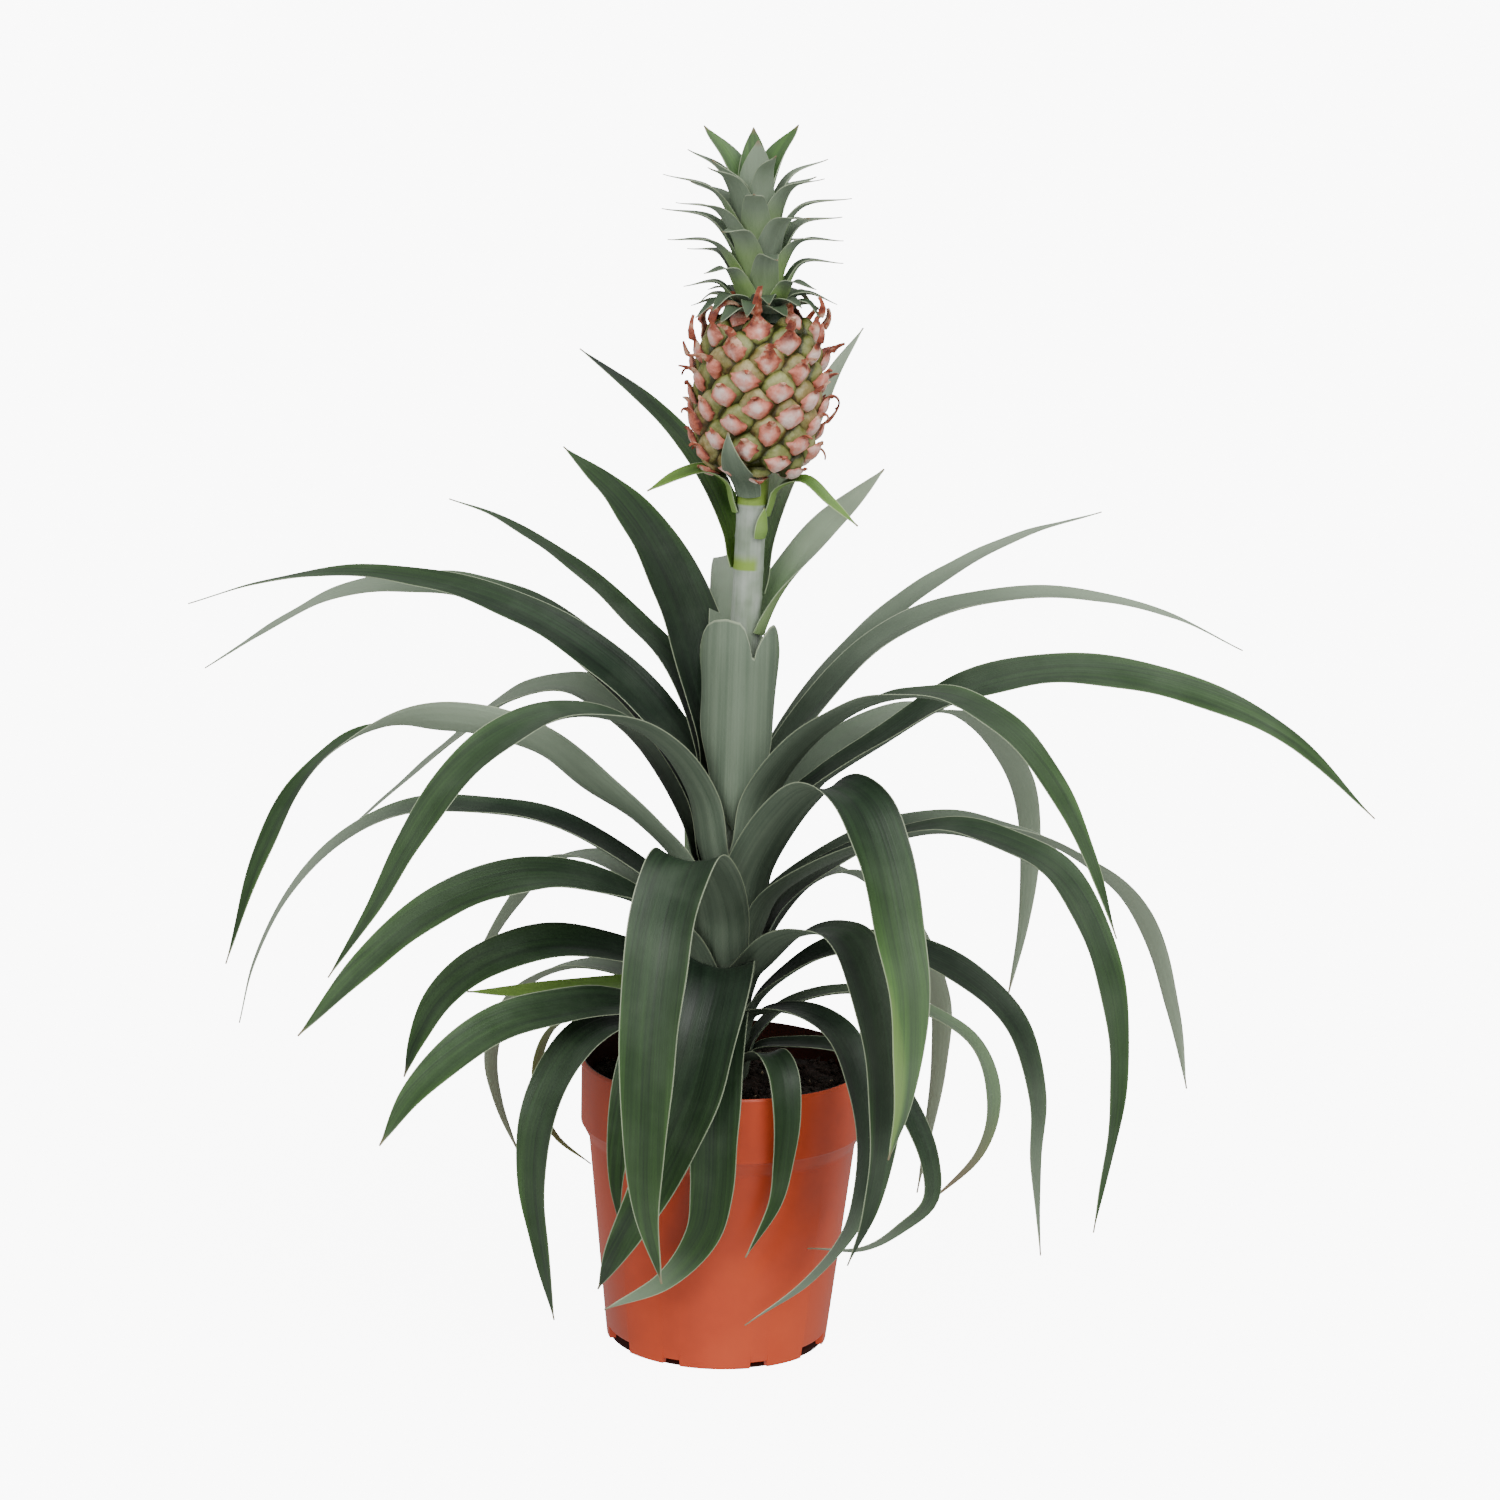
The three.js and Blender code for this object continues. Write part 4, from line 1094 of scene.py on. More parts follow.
@dataclass(frozen=True)
class SoilFinish:
    """Moist potting soil: dark crumbs of peat and bark with a few pale mineral grains."""

    name: str = "moist_potting_soil"
    dark: str = "1c130f"
    brown: str = "3a2820"
    grain: str = "b9a284"
    crumb_size: float = 2.381
    cloud_size: float = 3.846

    def build(self) -> bpy.types.Material:
        """Wire the crumbs' colours and the pale grains by the number on each crumb.

        Returns:
            The soil's material.
        """
        g = Graph(self.name)
        place = g.node("TexCoord", OBJECT_PLACE)
        crumb = g.node("TexVoronoi", inputs={"Vector": place, "Scale": cells(self.crumb_size)})
        cloud = g.node("TexNoise", inputs={
            "Vector": place, "Scale": cells(self.cloud_size), "Detail": 5.0})
        tone = g.node("ValToRGB", {"stops": [(0.35, self.dark), (0.7, self.brown)]}, {0: cloud})
        pale = g.node("Attribute", {"attribute_name": "pale_grain", "output": 2})
        colour = g.node("Mix", BLEND, {0: pale, 6: tone, 7: linear(self.grain)})
        relief = g.node("Bump", inputs={"Strength": 0.8, "Distance": 1.2 * MM, "Height": crumb})
        return g.surface({"Base Color": colour, "Roughness": 0.95, "Normal": relief})


@dataclass(frozen=True)
class FruitFinish:
    """The fruit's skin: olive eyes under pink bracts that dry to a red brown at rim and tip."""

    name: str = "pineapple_fruit_skin"
    seam: str = "36390f"
    olive: str = "6c7433"
    pale_olive_highlight: str = "a6a86f"
    flesh: str = "c0664f"
    pink: str = "ec9783"
    blush_and_highlight: str = "ffe2d8"
    brown: str = "6e2a1b"
    tan: str = "aa563c"
    straw: str = "dfb394"
    speckle_size: float = 1.429
    cloud_size: float = 4.348

    def build(self) -> bpy.types.Material:
        """Wire the eye and bract colours by the numbers that the shapes carry; a high rise paints
        a highlight, and a bract's lowered flank paints shade.

        Returns:
            The fruit's material.
        """
        g = Graph(self.name)
        bract, rise, dried = (g.node("Attribute", {"attribute_name": key, "output": 2})
                              for key in ("bract", "rise", "dried"))
        place = g.node("TexCoord", OBJECT_PLACE)
        speckle, cloud = (
            g.node("TexNoise", inputs={"Vector": place, "Scale": cells(size), "Detail": 3.0})
            for size in (self.speckle_size, self.cloud_size))
        uneven = g.node("Math", {"operation": "MULTIPLY_ADD"}, {0: cloud, 1: 0.9, 2: rise})
        shade = g.node("Math", {"operation": "SUBTRACT"}, {0: uneven, 1: 0.45})
        # Painted light: the pale olive and the blush at the tops of the ramps are painted
        # highlights on the eyes' tops and the bracts' middles.
        ramps = (
            (shade, [(0.34, self.seam), (0.5, self.olive), (0.9, self.pale_olive_highlight)]),
            (shade, [(0.2, self.brown), (0.4, self.flesh), (0.66, self.pink), (0.95, self.blush_and_highlight)]),
            (cloud, [(0.34, self.brown), (0.5, self.tan), (0.64, self.straw)]))
        eye, petal, withered = (g.node("ValToRGB", {"stops": stops}, {0: share})
                                for share, stops in ramps)
        skin = g.node("Mix", BLEND, {0: bract, 6: eye, 7: petal})
        colour = g.node("Mix", BLEND, {0: dried, 6: skin, 7: withered})
        relief = g.node("Bump", inputs={"Strength": 0.6, "Distance": 0.6 * MM, "Height": speckle})
        return g.surface({"Base Color": colour, "Roughness": 0.45, "Normal": relief})


# The plant's pieces


@dataclass
class Leaves:
    """All clasping leaves: the rosette's and those of the bare stem."""

    rosette: tuple[LeafShape, ...] = ROSETTE
    bare_stem: tuple[LeafShape, ...] = BARE_STEM_LEAVES
    seed: int = 11

    def build(self, finish: bpy.types.Material) -> None:
        """Make one piece for each leaf.

        Args:
            finish: The leaves' material.
        """
        draw = np.random.default_rng(self.seed)
        for shapes, slot in ((self.rosette, "leaf"), (self.bare_stem, "scape_leaf")):
            for shape in shapes:
                make_piece("living_" + shape.node, shape.mesh(draw), finish, (shape.node,))


@dataclass
class Stem:
    """The stem, thick inside the rosette and slim above it, with a low ring at each leaf's root.

    Attributes:
        step: How far apart the rows of vertices are.
        rings, ring_rise, ring_width: The rings' heights and how high and wide they are.
    """

    sides: int = 48
    step: float = 1.5
    rings: tuple[float, ...] = (302, 318, 329, 343, 352, 356)
    ring_rise: float = 0.3
    ring_width: float = 0.9

    def build(self, finish: bpy.types.Material) -> None:
        """Turn the profile.

        Formula: a ring adds its rise times exp(-((z - ring) / width) squared) to the radius.

        Args:
            finish: The stem's material.
        """
        heights = np.arange(STEM_PROFILE[0][1], STEM_PROFILE[-1][1] + self.step / 2, self.step)
        radius = stem_radius(heights)
        for ring in self.rings:
            radius = radius + self.ring_rise * np.exp(-((heights - ring) / self.ring_width) ** 2)
        mesh = turned(np.stack([radius, heights], -1), around_axis(self.sides))
        mesh.points = leaning(mesh.points)
        make_piece("waxy_stem", mesh, finish, ("stem",))


@dataclass
class Fruit:
    """The fruit: a barrel covered with eyes on a golden-angle spiral, each under its bract.

    Attributes:
        radius, end_radius, squareness: The barrel's radii and how square its outline is.
        eye_half, eye_rise, eye_sink: An eye's half sizes across and up, its height and how deep
            its foot lies.
        diamond_power: How square an eye's outline is, between 1 for a diamond and 2 for an ellipse.
        shield_root: Where a bract starts under the middle of its eye.
        shield_run, shield_lift, shield_half: A bract's stations up the eye, out of it and across.
        bract_sides, tail_rows: Corners round a bract and rows along its tail.
    """

    bottom: float = 371.3
    top: float = 431.5
    radius: float = 23.6
    end_radius: float = 12.0
    squareness: float = 2.7
    eyes: int = 76
    eye_half: tuple[float, float] = (8.0, 7.6)
    eye_rise: float = 4.1
    eye_sink: float = 1.5
    diamond_power: float = 1.6
    shield_root: float = -6.2
    bract_sides: int = 12
    tail_rows: int = 12
    shield_run: tuple[float, ...] = (0.0, 1.4, 2.9, 4.3, 5.6, 6.8, 7.9, 8.9, 9.7, 10.4)
    shield_lift: tuple[float, ...] = (-1.2, 0.8, 2.2, 3.1, 3.6, 3.8, 4.0, 4.2, 4.6, 5.1)
    shield_half: tuple[float, ...] = (0.7, 3.0, 4.9, 6.1, 6.4, 5.6, 4.4, 3.2, 2.3, 1.8)
    seed: int = 5

    def barrel_radius(self, height: Array) -> Array:
        """The end radius plus the rest times (1 - t to the squareness) to its inverse power.

        Args:
            height: Where to read it; t is its share of the way from the middle to either end.

        Returns:
            The barrel's radius there.
        """
        middle = (self.bottom + self.top) / 2
        t = np.minimum(1, np.abs(height - middle) / (self.top - middle))
        swell = (1 - t ** self.squareness) ** (1 / self.squareness)
        return self.end_radius + (self.radius - self.end_radius) * swell

    def eye_heights(self) -> Array:
        """Share the barrel's area equally among the eyes.

        Returns:
            The height of each eye, from the lowest up.
        """
        height = np.linspace(self.bottom, self.top, 401)
        radius = self.barrel_radius(height)
        area = np.hypot(np.diff(radius), np.diff(height)) * (radius[1:] + radius[:-1]) / 2
        run = np.concatenate([[0], np.cumsum(area)])
        return np.interp(run[-1] * (np.arange(self.eyes) + 0.5) / self.eyes, run, height)

    def barrel(self) -> Mesh:
        """Turn the barrel under the eyes, its rings closer together at its ends.

        Returns:
            The closed mesh, with the eyes' numbers at 0.
        """
        middle, half = (self.bottom + self.top) / 2, (self.top - self.bottom) / 2
        height = middle - half * np.cos(np.linspace(0, np.pi, 40))
        mesh = turned(np.stack([self.barrel_radius(height), height], -1), around_axis(72))
        zero = np.zeros(len(mesh.points))
        mesh.values = {"bract": zero, "rise": zero, "dried": zero}
        return mesh

    def eye_cap(self, scale: float, draw: Draw) -> Mesh:
        """A low dome on a rounded diamond, x^p + y^p = 1, in the eye's own frame.

        Neighbouring domes cut into each other, so that dark seams run between them. A dome's
        height is (1 - share to the power 2.6) to the power 0.6, with three low folds.

        Args:
            scale: The eye's size.
            draw: Seeded source of its folds, height and colour.

        Returns:
            The closed mesh with its numbers.
        """
        angle = around_axis(28)
        share = np.array([1.0, 0.96, 0.9, 0.82, 0.7, 0.55, 0.38, 0.18])[:, None]
        p = self.diamond_power
        power = (np.abs(np.cos(angle)) ** p + np.abs(np.sin(angle)) ** p) ** (-1 / p)
        x = self.eye_half[0] * share * power * np.cos(angle)
        y = 0.2 + self.eye_half[1] * share * power * np.sin(angle)
        lift = (1 - share ** 2.6) ** 0.6
        folds = 0.22 * np.sin(3 * angle + draw.uniform(0, 6)) * share * (1 - share) * 4
        dome = self.eye_rise * lift * (1 + 0.03 * y)
        z = dome + folds - self.eye_sink + draw.uniform(-0.3, 0.3)
        mesh = capped(np.stack([x, y, z], -1) * scale)
        # Painted highlight: the dome's top, and a little its upper side, take the pale olive.
        rise = np.concatenate([(lift + 0.02 * y).ravel(), [0, 1]])
        zero = np.zeros(len(mesh.points))
        dried = zero + 0.35 * draw.uniform() ** 2 * np.clip(rise, 0, 1)
        rise = rise + draw.uniform(-0.14, 0.1)
        mesh.values = {"bract": zero, "rise": 0.85 * rise, "dried": dried}
        return mesh

    def bract(self, scale: float, high: float, aside: float, draw: Draw) -> Mesh:
        """A torn papery shield with a tail that curls out of the fruit, in the eye's own frame.

        The shield's half width, lift and height run through named stations; the tail follows an
        arc whose direction turns steadily.

        Args:
            scale: The eye's size.
            high: Its place from the fruit's foot, 0, to its top, 1.
            aside: How far it faces away from the viewer's side, from 0 to 1.
            draw: Seeded source of its width, tears, tail and turn.

        Returns:
            The closed mesh with its numbers.
        """
        rows, tail_rows = len(self.shield_run), self.tail_rows
        y = self.shield_root + draw.uniform(0.85, 1.15) * np.array(self.shield_run)
        bowed = 0.8 * high * np.linspace(0, 1, rows) ** 2
        z = np.array(self.shield_lift) + draw.uniform(-0.15, 0.35) + bowed
        half = np.array(self.shield_half) * draw.uniform(0.8, 1.15, rows)
        crowded = smooth_step(0.58, 0.86, high)
        half = half * draw.uniform(0.82, 1.08)
        reach = draw.uniform() ** 2.0 * 9.0 * aside + crowded * draw.uniform(5, 12)
        tail = 0.6 + draw.uniform(0, 1.2) + reach
        curl = (1 - crowded) * draw.uniform(-0.1, 0.3) + crowded * draw.uniform(-0.26, 0.14)
        heading = math.radians(draw.uniform(35, 75)) + np.cumsum(np.full(tail_rows, curl))
        step = tail / tail_rows
        y = np.concatenate([y, y[-1] + np.cumsum(step * np.cos(heading))])
        z = np.concatenate([z, z[-1] + np.cumsum(step * np.sin(heading))])
        thin = np.linspace(1.7 + 1.1 * crowded, 0.6 + 0.6 * crowded, tail_rows)
        half = np.concatenate([half, thin])[:, None]
        bend = draw.uniform(-0.55, 0.55) * tail * np.linspace(0, 1, tail_rows) ** 1.6
        lean = draw.uniform(-1.2, 1.2) * np.linspace(0, 1, rows) ** 1.5
        sway = np.concatenate([lean, lean[-1] + bend])[:, None]
        angle = -around_axis(self.bract_sides)  # clockwise in X and Z: outwards for a path along Y
        ridge = 1 - np.abs(np.cos(angle)) ** 1.3
        keel = np.where(np.sin(angle) > 0, 1.2, -0.3) * ridge
        in_shield = y[:, None] < y[rows - 1]
        depth = np.where(in_shield, np.minimum(0.4 + 0.2 * half, 1.4), 0.75 * half)
        crease = 0.35 * np.cos(2 * angle + draw.uniform(0, 6)) * (half > 2)
        along = unit(np.stack([np.gradient(y), np.gradient(z)], -1))
        rise_off = depth * keel + crease - 0.04 * (half * np.cos(angle)) ** 2
        rings = np.stack([half * np.cos(angle) + sway,
                          y[:, None] - along[:, 1:] * rise_off,
                          z[:, None] + along[:, :1] * rise_off], -1)
        spun = rings @ np.array(Matrix.Rotation(draw.uniform(-0.22, 0.22), 3, "Z")).T
        mesh = capped(spun * scale)
        # Painted light: the keel's middle is paler, partly the bract's own pale pink and partly a
        # painted highlight, and one flank is darker and redder as painted shade.
        middle = 1 - np.abs(np.cos(angle)) ** 2.5
        shaded_flank = smooth_step(0.05, 0.9, np.cos(angle))
        paler = draw.uniform(-0.14, 0.12) + 0.2 * (1 - smooth_step(0.0, 0.2, high))
        rise = (0.52 + 0.32 * middle - 0.24 * shaded_flank + paler) * (half > 1.2)
        frayed = y[:, None] + draw.uniform(-0.7, 0.7, (len(y), self.bract_sides))
        dry = smooth_step(1.6 - 2.8 * crowded, 3.6 - 2.2 * crowded, frayed)
        dry = np.clip(dry + 0.2 * crowded * draw.uniform(), 0, 1)
        mesh.values = {
            "bract": np.ones(len(mesh.points)),
            "rise": np.concatenate([rise.ravel(), [0.3, 0.3]]),
            "dried": np.concatenate([dry.ravel(), [0, 1]]),
        }
        return mesh

    def build(self, finish: bpy.types.Material) -> None:
        """Place every eye cap and bract on the barrel.

        Args:
            finish: The fruit's material.
        """
        draw = np.random.default_rng(self.seed)
        caps, bracts = [self.barrel()], []
        for k, height in enumerate(self.eye_heights()):
            azimuth = GOLDEN_ANGLE * k
            slope = 0.75 * float(np.diff(self.barrel_radius(height + np.array([-0.5, 0.5])))[0])
            out = np.array([math.cos(azimuth), math.sin(azimuth), 0])
            axes = np.stack([[-out[1], out[0], 0], [0, 0, 0], unit(out - np.array([0, 0, slope]))])
            axes[1] = np.cross(axes[2], axes[0])
            foot = float(self.barrel_radius(height)) * out + np.array([0, 0, height])
            high = (height - self.bottom) / (self.top - self.bottom)
            scale = 0.8 + 0.2 * math.sin(math.pi * high) ** 0.5
            aside = 1 - max(0.0, -out[1]) ** 2
            for shape, group in ((self.eye_cap(scale, draw), caps),
                                 (self.bract(scale, high, aside, draw), bracts)):
                shape.points = shape.points @ axes + foot
                group.append(shape)
        for name, group, nodes in (("fruit_eyes", caps, ("fruit",)), ("fruit_bracts", bracts, ())):
            mesh = Mesh.joined(group)
            mesh.points = leaning(mesh.points)
            make_piece(name, mesh, finish, nodes)


@dataclass
class LeafyTop:
    """The crown of leaves on the fruit: broad channelled leaves on a slim core.

    Attributes:
        leaves, foot_leaves: How many leaves the spiral has and how many lie over the fruit.
        leaf_zone: The height over which the spiral's leaves are rooted.
        fold_radius: How tightly the leaves are folded.
        tilt: How far it leans in X for each millimetre of height.
        set_leaves: The highest leaves' azimuth, reach, tip height and width.
    """

    bottom: float = 431.8
    top: float = 508.0
    leaves: int = 34
    foot_leaves: int = 18
    leaf_zone: float = 32.0
    foot_radius: float = 13.0
    core_radius: float = 10.0
    core_top: float = 480.0
    fold_radius: float = 9.0
    tilt: float = -0.11
    set_leaves: tuple[tuple[float, ...], ...] = (
        (212, 19, 496, 18), (84, 9, 508, 18), (140, 25, 507.5, 19), (40, 25, 509, 19),
        (292, 7, 504, 21))
    seed: int = 3

    def blade(self, out: Array, stations: tuple, width: float, fresh: float, inner: float,
              dust: float, draw: Draw, taper: float = 1.7) -> Mesh:
        """One channelled leaf in the vertical plane of a direction.

        Formulas, with s the share of its length: its width is that of its root times 1 - s to the
        taper, and its wall thins in proportion to 1 - s.

        Args:
            out: The unit direction that it grows in.
            stations: Reach and height of what its midline passes.
            width: Its width at the root.
            fresh: How green its root is.
            inner: How green its upper side is.
            dust: How thick its bloom is.
            draw: Seeded source of its bloom and pattern.
            taper: How late it narrows.

        Returns:
            The closed mesh.
        """
        line = tuple(tuple(out * x + np.array([0, 0, z])) for x, z in stations)
        mesh = Blade(
            Midline(line), np.array([-out[1], out[0], 0]),
            lambda s: np.maximum(0.25, width / 2 * (1 - s ** taper)),
            lambda s, points: np.full(s.shape, self.fold_radius),
            lambda s, q: 0.35 + 0.9 * (1 - q ** 2) * (1 - s),
            np.zeros_like, lambda s, q, distance: 0 * s, np.ones_like,
            rows=30, columns=13, bead=0.07,
        ).mesh(phase=draw.uniform(0, 40))
        share = mesh.values.pop("share")
        del mesh.values["across"]
        covered = 1 - inner * mesh.values["upper_side"]
        mesh.values["bloom"] = covered * dust * (0.7 + 0.6 * draw.uniform())
        rooted = fresh * (1 - smooth_step(0.1, 0.65, share)) * draw.uniform()
        mesh.values["fresh"] = 0.05 + rooted + inner * mesh.values["upper_side"]
        mesh.values["dry"] = smooth_step(0.93, 1, share)
        mesh.values["margin_gap"] *= 2.2
        return mesh

    def leaf(self, k: int, draw: Draw) -> Mesh:
        """One leaf of the spiral, with the same midline and width as in its solid.

        Formulas, with t its share of the way up: its reach is 14 + 16 (1 - t to the power 5) + 10
        sin(pi t), and its tip rises from the fruit to the top with t to the power 0.8.

        Args:
            k: Its number, from the lowest up.
            draw: Seeded source of its bloom and pattern.

        Returns:
            The closed mesh.
        """
        t = k / (self.leaves - 1)
        azimuth = GOLDEN_ANGLE * k + math.radians(40)
        out = np.array([math.cos(azimuth), math.sin(azimuth), 0])
        low = self.bottom + 1.5 + self.leaf_zone * t
        reach = 14 + 16 * (1 - t ** 5) + 10 * math.sin(math.pi * t)
        rise = (self.bottom + 8) * (1 - t ** 0.8) + self.top * t ** 0.8 - low
        stations = ((9 - 4 * t, low), (13 - 6 * t, low + 4 + 0.3 * rise),
                    (0.4 * reach + 5 - 4 * t + 3.5 * t ** 4, low + 0.8 * rise + 4 * (1 - t)),
                    (reach, low + rise))
        width = 12 + 4 * math.sin(math.pi / 2 * min(1.0, 1.5 * t))
        return self.blade(out, stations, width, 2.2, 0.1, 0.25 + 0.4 * t, draw)

    def top_leaf(self, azimuth: float, reach: float, tip: float, width: float,
                 draw: Draw) -> Mesh:
        """One of the broad young leaves at the very top, green on its inner side.

        Args:
            azimuth: The side that it leans to, in degrees.
            reach: How far out its tip stands.
            tip: The height of its tip.
            width: Its width.
            draw: Seeded source of its bloom and pattern.

        Returns:
            The closed mesh.
        """
        angle = math.radians(azimuth)
        out = np.array([math.cos(angle), math.sin(angle), 0])
        low = self.bottom + 1.5 + self.leaf_zone
        rise = tip - low
        stations = ((3.5, low), (4.5, low + 0.25 * rise), (0.4 * reach + 3, low + 0.7 * rise),
                    (reach, tip))
        return self.blade(out, stations, width, 2.0, 0.8, 0.6, draw, taper=3.0)

    def foot_leaf(self, k: int, draw: Draw) -> Mesh:
        """A short dark leaf that lies over the fruit's top.

        Args:
            k: Its number.
            draw: Seeded source of its reach, drop, bloom and pattern.

        Returns:
            The closed mesh.
        """
        azimuth = GOLDEN_ANGLE * k + math.radians(100)
        out = np.array([math.cos(azimuth), math.sin(azimuth), 0])
        reach, drop = draw.uniform(24, 33), draw.uniform(-4.0, 2.0)
        low = self.bottom - 0.5 + 0.35 * k
        stations = ((9, low), (13, low + 4.5), (20, low + 6), (reach, low + 3 + drop))
        mesh = self.blade(out, stations, 12, 0.4, 0.2, 0.2, draw)
        mesh.values["margin_gap"] *= 3
        return mesh

    def core(self) -> Mesh:
        """Turn the slim core that the leaves grow from.

        Returns:
            The closed mesh, with a leaf's numbers.
        """
        profile = ((self.foot_radius, self.bottom), (self.core_radius, self.bottom + 8),
                   (self.core_radius * 0.7, self.bottom + 30), (0.3, self.core_top))
        mesh = turned(np.array(profile), around_axis(24))
        count = len(mesh.points)
        mesh.values = {key: np.full(count, value) for key, value in (
            ("upper_side", 1.0), ("margin_gap", 5.0), ("bloom", 0.0), ("fresh", 0.2), ("dry", 0.0))}
        mesh.flat = mesh.points[:, [0, 2]] / UV_UNIT
        return mesh

    def build(self, finish: bpy.types.Material) -> None:
        """Make the leafy top as one piece, sheared to the stem's lean and then to its own.

        Args:
            finish: The leaves' material.
        """
        draw = np.random.default_rng(self.seed)
        spiral = range(self.leaves - len(self.set_leaves))
        mesh = Mesh.joined([self.core()] + [self.leaf(k, draw) for k in spiral]
                           + [self.top_leaf(*leaf, draw) for leaf in self.set_leaves]
                           + [self.foot_leaf(k, draw) for k in range(self.foot_leaves)])
        mesh.points = leaning(mesh.points)
        mesh.points[:, 0] += self.tilt * np.maximum(0, mesh.points[:, 2] - self.bottom)
        make_piece("leafy_top", mesh, finish, ("crown",))


# The pot and its soil


def softened(profile: list[tuple[float, float, float]]) -> Array:
    """Round the corners of a profile.

    Formula: a corner with a size above 0 becomes a quadratic curve from that far before it to that
    far after it.

    Args:
        profile: Radius, height and corner size of each point.

    Returns:
        Rows of radius and height.
    """
    rows = np.array(profile, float)
    points = []
    for k, (radius, height, size) in enumerate(rows):
        here = np.array([radius, height])
        if size == 0 or k in (0, len(rows) - 1):
            points.append(here)
            continue
        before, after = (unit(rows[k + step, :2] - here) * size + here for step in (-1, 1))
        for t in (0, 0.25, 0.5, 0.75, 1):
            points.append((1 - t) ** 2 * before + 2 * t * (1 - t) * here + t ** 2 * after)
    return np.array(points)


@dataclass
class NurseryPot:
    """The moulded 12 cm nursery pot, with its collar, lifted floor, drains and notched foot.

    Attributes:
        collar_foot, cove_foot: Where the collar begins and where the wall starts to flare to it.
        disc_radius, moat_slope: The floor's raised disc and the slope round it.
        wide_notch, narrow_notch: The notches' azimuths, width and height.
        notch_step: Half the angle, in radians, over which a notch's side rises.
        drain: How many drain holes there are, their radius and that of their circle.
    """

    height: float = 121.0
    rim_radius: float = 60.0
    wall: float = 1.3
    collar_foot: float = 93.5
    cove_foot: float = 87.0
    body_top_radius: float = 56.1
    base_radius: float = 46.6
    floor_lift: float = 5.0
    floor: float = 1.4
    disc_radius: float = 31.0
    moat_slope: float = 2.0
    foot_width: float = 2.6
    wide_notch: tuple[tuple[float, ...], float, float] = ((28, 152, 208, 332), 19, 4.4)
    narrow_notch: tuple[tuple[float, ...], float, float] = ((67, 113, 247, 293), 7.5, 2.6)
    notch_step: float = 0.0015
    drain: tuple[int, float, float] = (8, 3.0, 37.0)
    punch_heights: tuple[float, float] = (2.0, 10.0)
    sides: int = 160

    def azimuths(self) -> Array:
        """Spread azimuths evenly, with a close pair at each side of each notch.

        Returns:
            The azimuths, in radians, in rising order.
        """
        edges = []
        for centres, width, _ in (self.wide_notch, self.narrow_notch):
            half = math.asin(width / 2 / self.base_radius)
            for centre in np.radians(centres):
                for edge in (centre - half, centre + half):
                    edges += [edge - self.notch_step, edge + self.notch_step]
        angle = np.concatenate([around_axis(self.sides), np.array(edges) % (2 * np.pi)])
        return np.unique(np.round(angle, 6))

    def notch_height(self, angle: Array) -> Array:
        """Read how high the foot is cut away.

        Args:
            angle: The azimuths, in radians.

        Returns:
            The height at each, 0 between the notches.
        """
        cut = np.zeros_like(angle)
        for centres, width, height in (self.wide_notch, self.narrow_notch):
            half = math.asin(width / 2 / self.base_radius)
            for centre in np.radians(centres):
                away = np.abs((angle - centre + np.pi) % (2 * np.pi) - np.pi)
                cut = np.where(away < half, height, cut)
        return cut

    def shell(self) -> Mesh:
        """Turn the whole pot as one wall, its foot lifted where a notch is.

        Returns:
            The closed mesh, without its drain holes.
        """
        base, rim, body_top, disc = (
            self.base_radius, self.rim_radius, self.body_top_radius, self.disc_radius)
        lift, foot, rise = self.floor_lift, base - self.foot_width, self.floor_lift + self.floor
        inner = base + (body_top - base) * rise / self.cove_foot
        profile = softened([
            (3, 0, 0), (disc, 0, 0.5), (disc + self.moat_slope, lift, 0.5), (foot - 0.6, lift, 0.3),
            (foot, 0, 0), (base, 0, 0), (base + 0.66, lift + 0.4, 0),
            (body_top, self.cove_foot, 1.2), (rim - 0.9, self.collar_foot - 0.8, 0.5),
            (rim - 0.3, self.collar_foot, 0.35), (rim, self.height - 1, 0.5),
            (rim - 0.6, self.height, 0.3), (rim - self.wall, self.height, 0.3),
            (rim - self.wall - 0.4, self.collar_foot + 1, 1),
            (body_top - self.wall, self.cove_foot + 1, 1), (inner - self.wall, rise, 1),
            (disc, rise, 0.5), (disc - self.moat_slope, self.floor, 0.5), (3, self.floor, 0),
        ])
        angle = self.azimuths()
        mesh = turned(profile, angle)
        number = np.arange(len(profile) * len(angle)).reshape(len(profile), len(angle))
        standing = (profile[:, 1] == 0) & (profile[:, 0] > disc + 1)
        mesh.points[number[standing], 2] = self.notch_height(angle)
        return mesh

    def build(self, finish: bpy.types.Material) -> None:
        """Make the pot and cut its drain holes.

        Args:
            finish: The pot's material.
        """
        pot = make_piece("nursery_pot", self.shell(), finish, ("pot",))
        count, radius, circle = self.drain
        outline = np.array([(radius, height) for height in self.punch_heights])
        punches = []
        for azimuth in around_axis(count):
            punch = turned(outline, around_axis(24))
            punch.points += circle * np.array([math.cos(azimuth), math.sin(azimuth), 0])
            punches.append(punch)
        tool = make_piece("drain_punches", Mesh.joined(punches), finish)
        cut = pot.modifiers.new("drains", "BOOLEAN")
        cut.operation, cut.object, cut.solver = "DIFFERENCE", tool, "EXACT"
        bpy.context.view_layer.update()
        finished = bpy.data.meshes.new_from_object(
            pot.evaluated_get(bpy.context.evaluated_depsgraph_get()))
        pot.modifiers.clear()
        pot.data = finished
        bpy.data.objects.remove(tool)


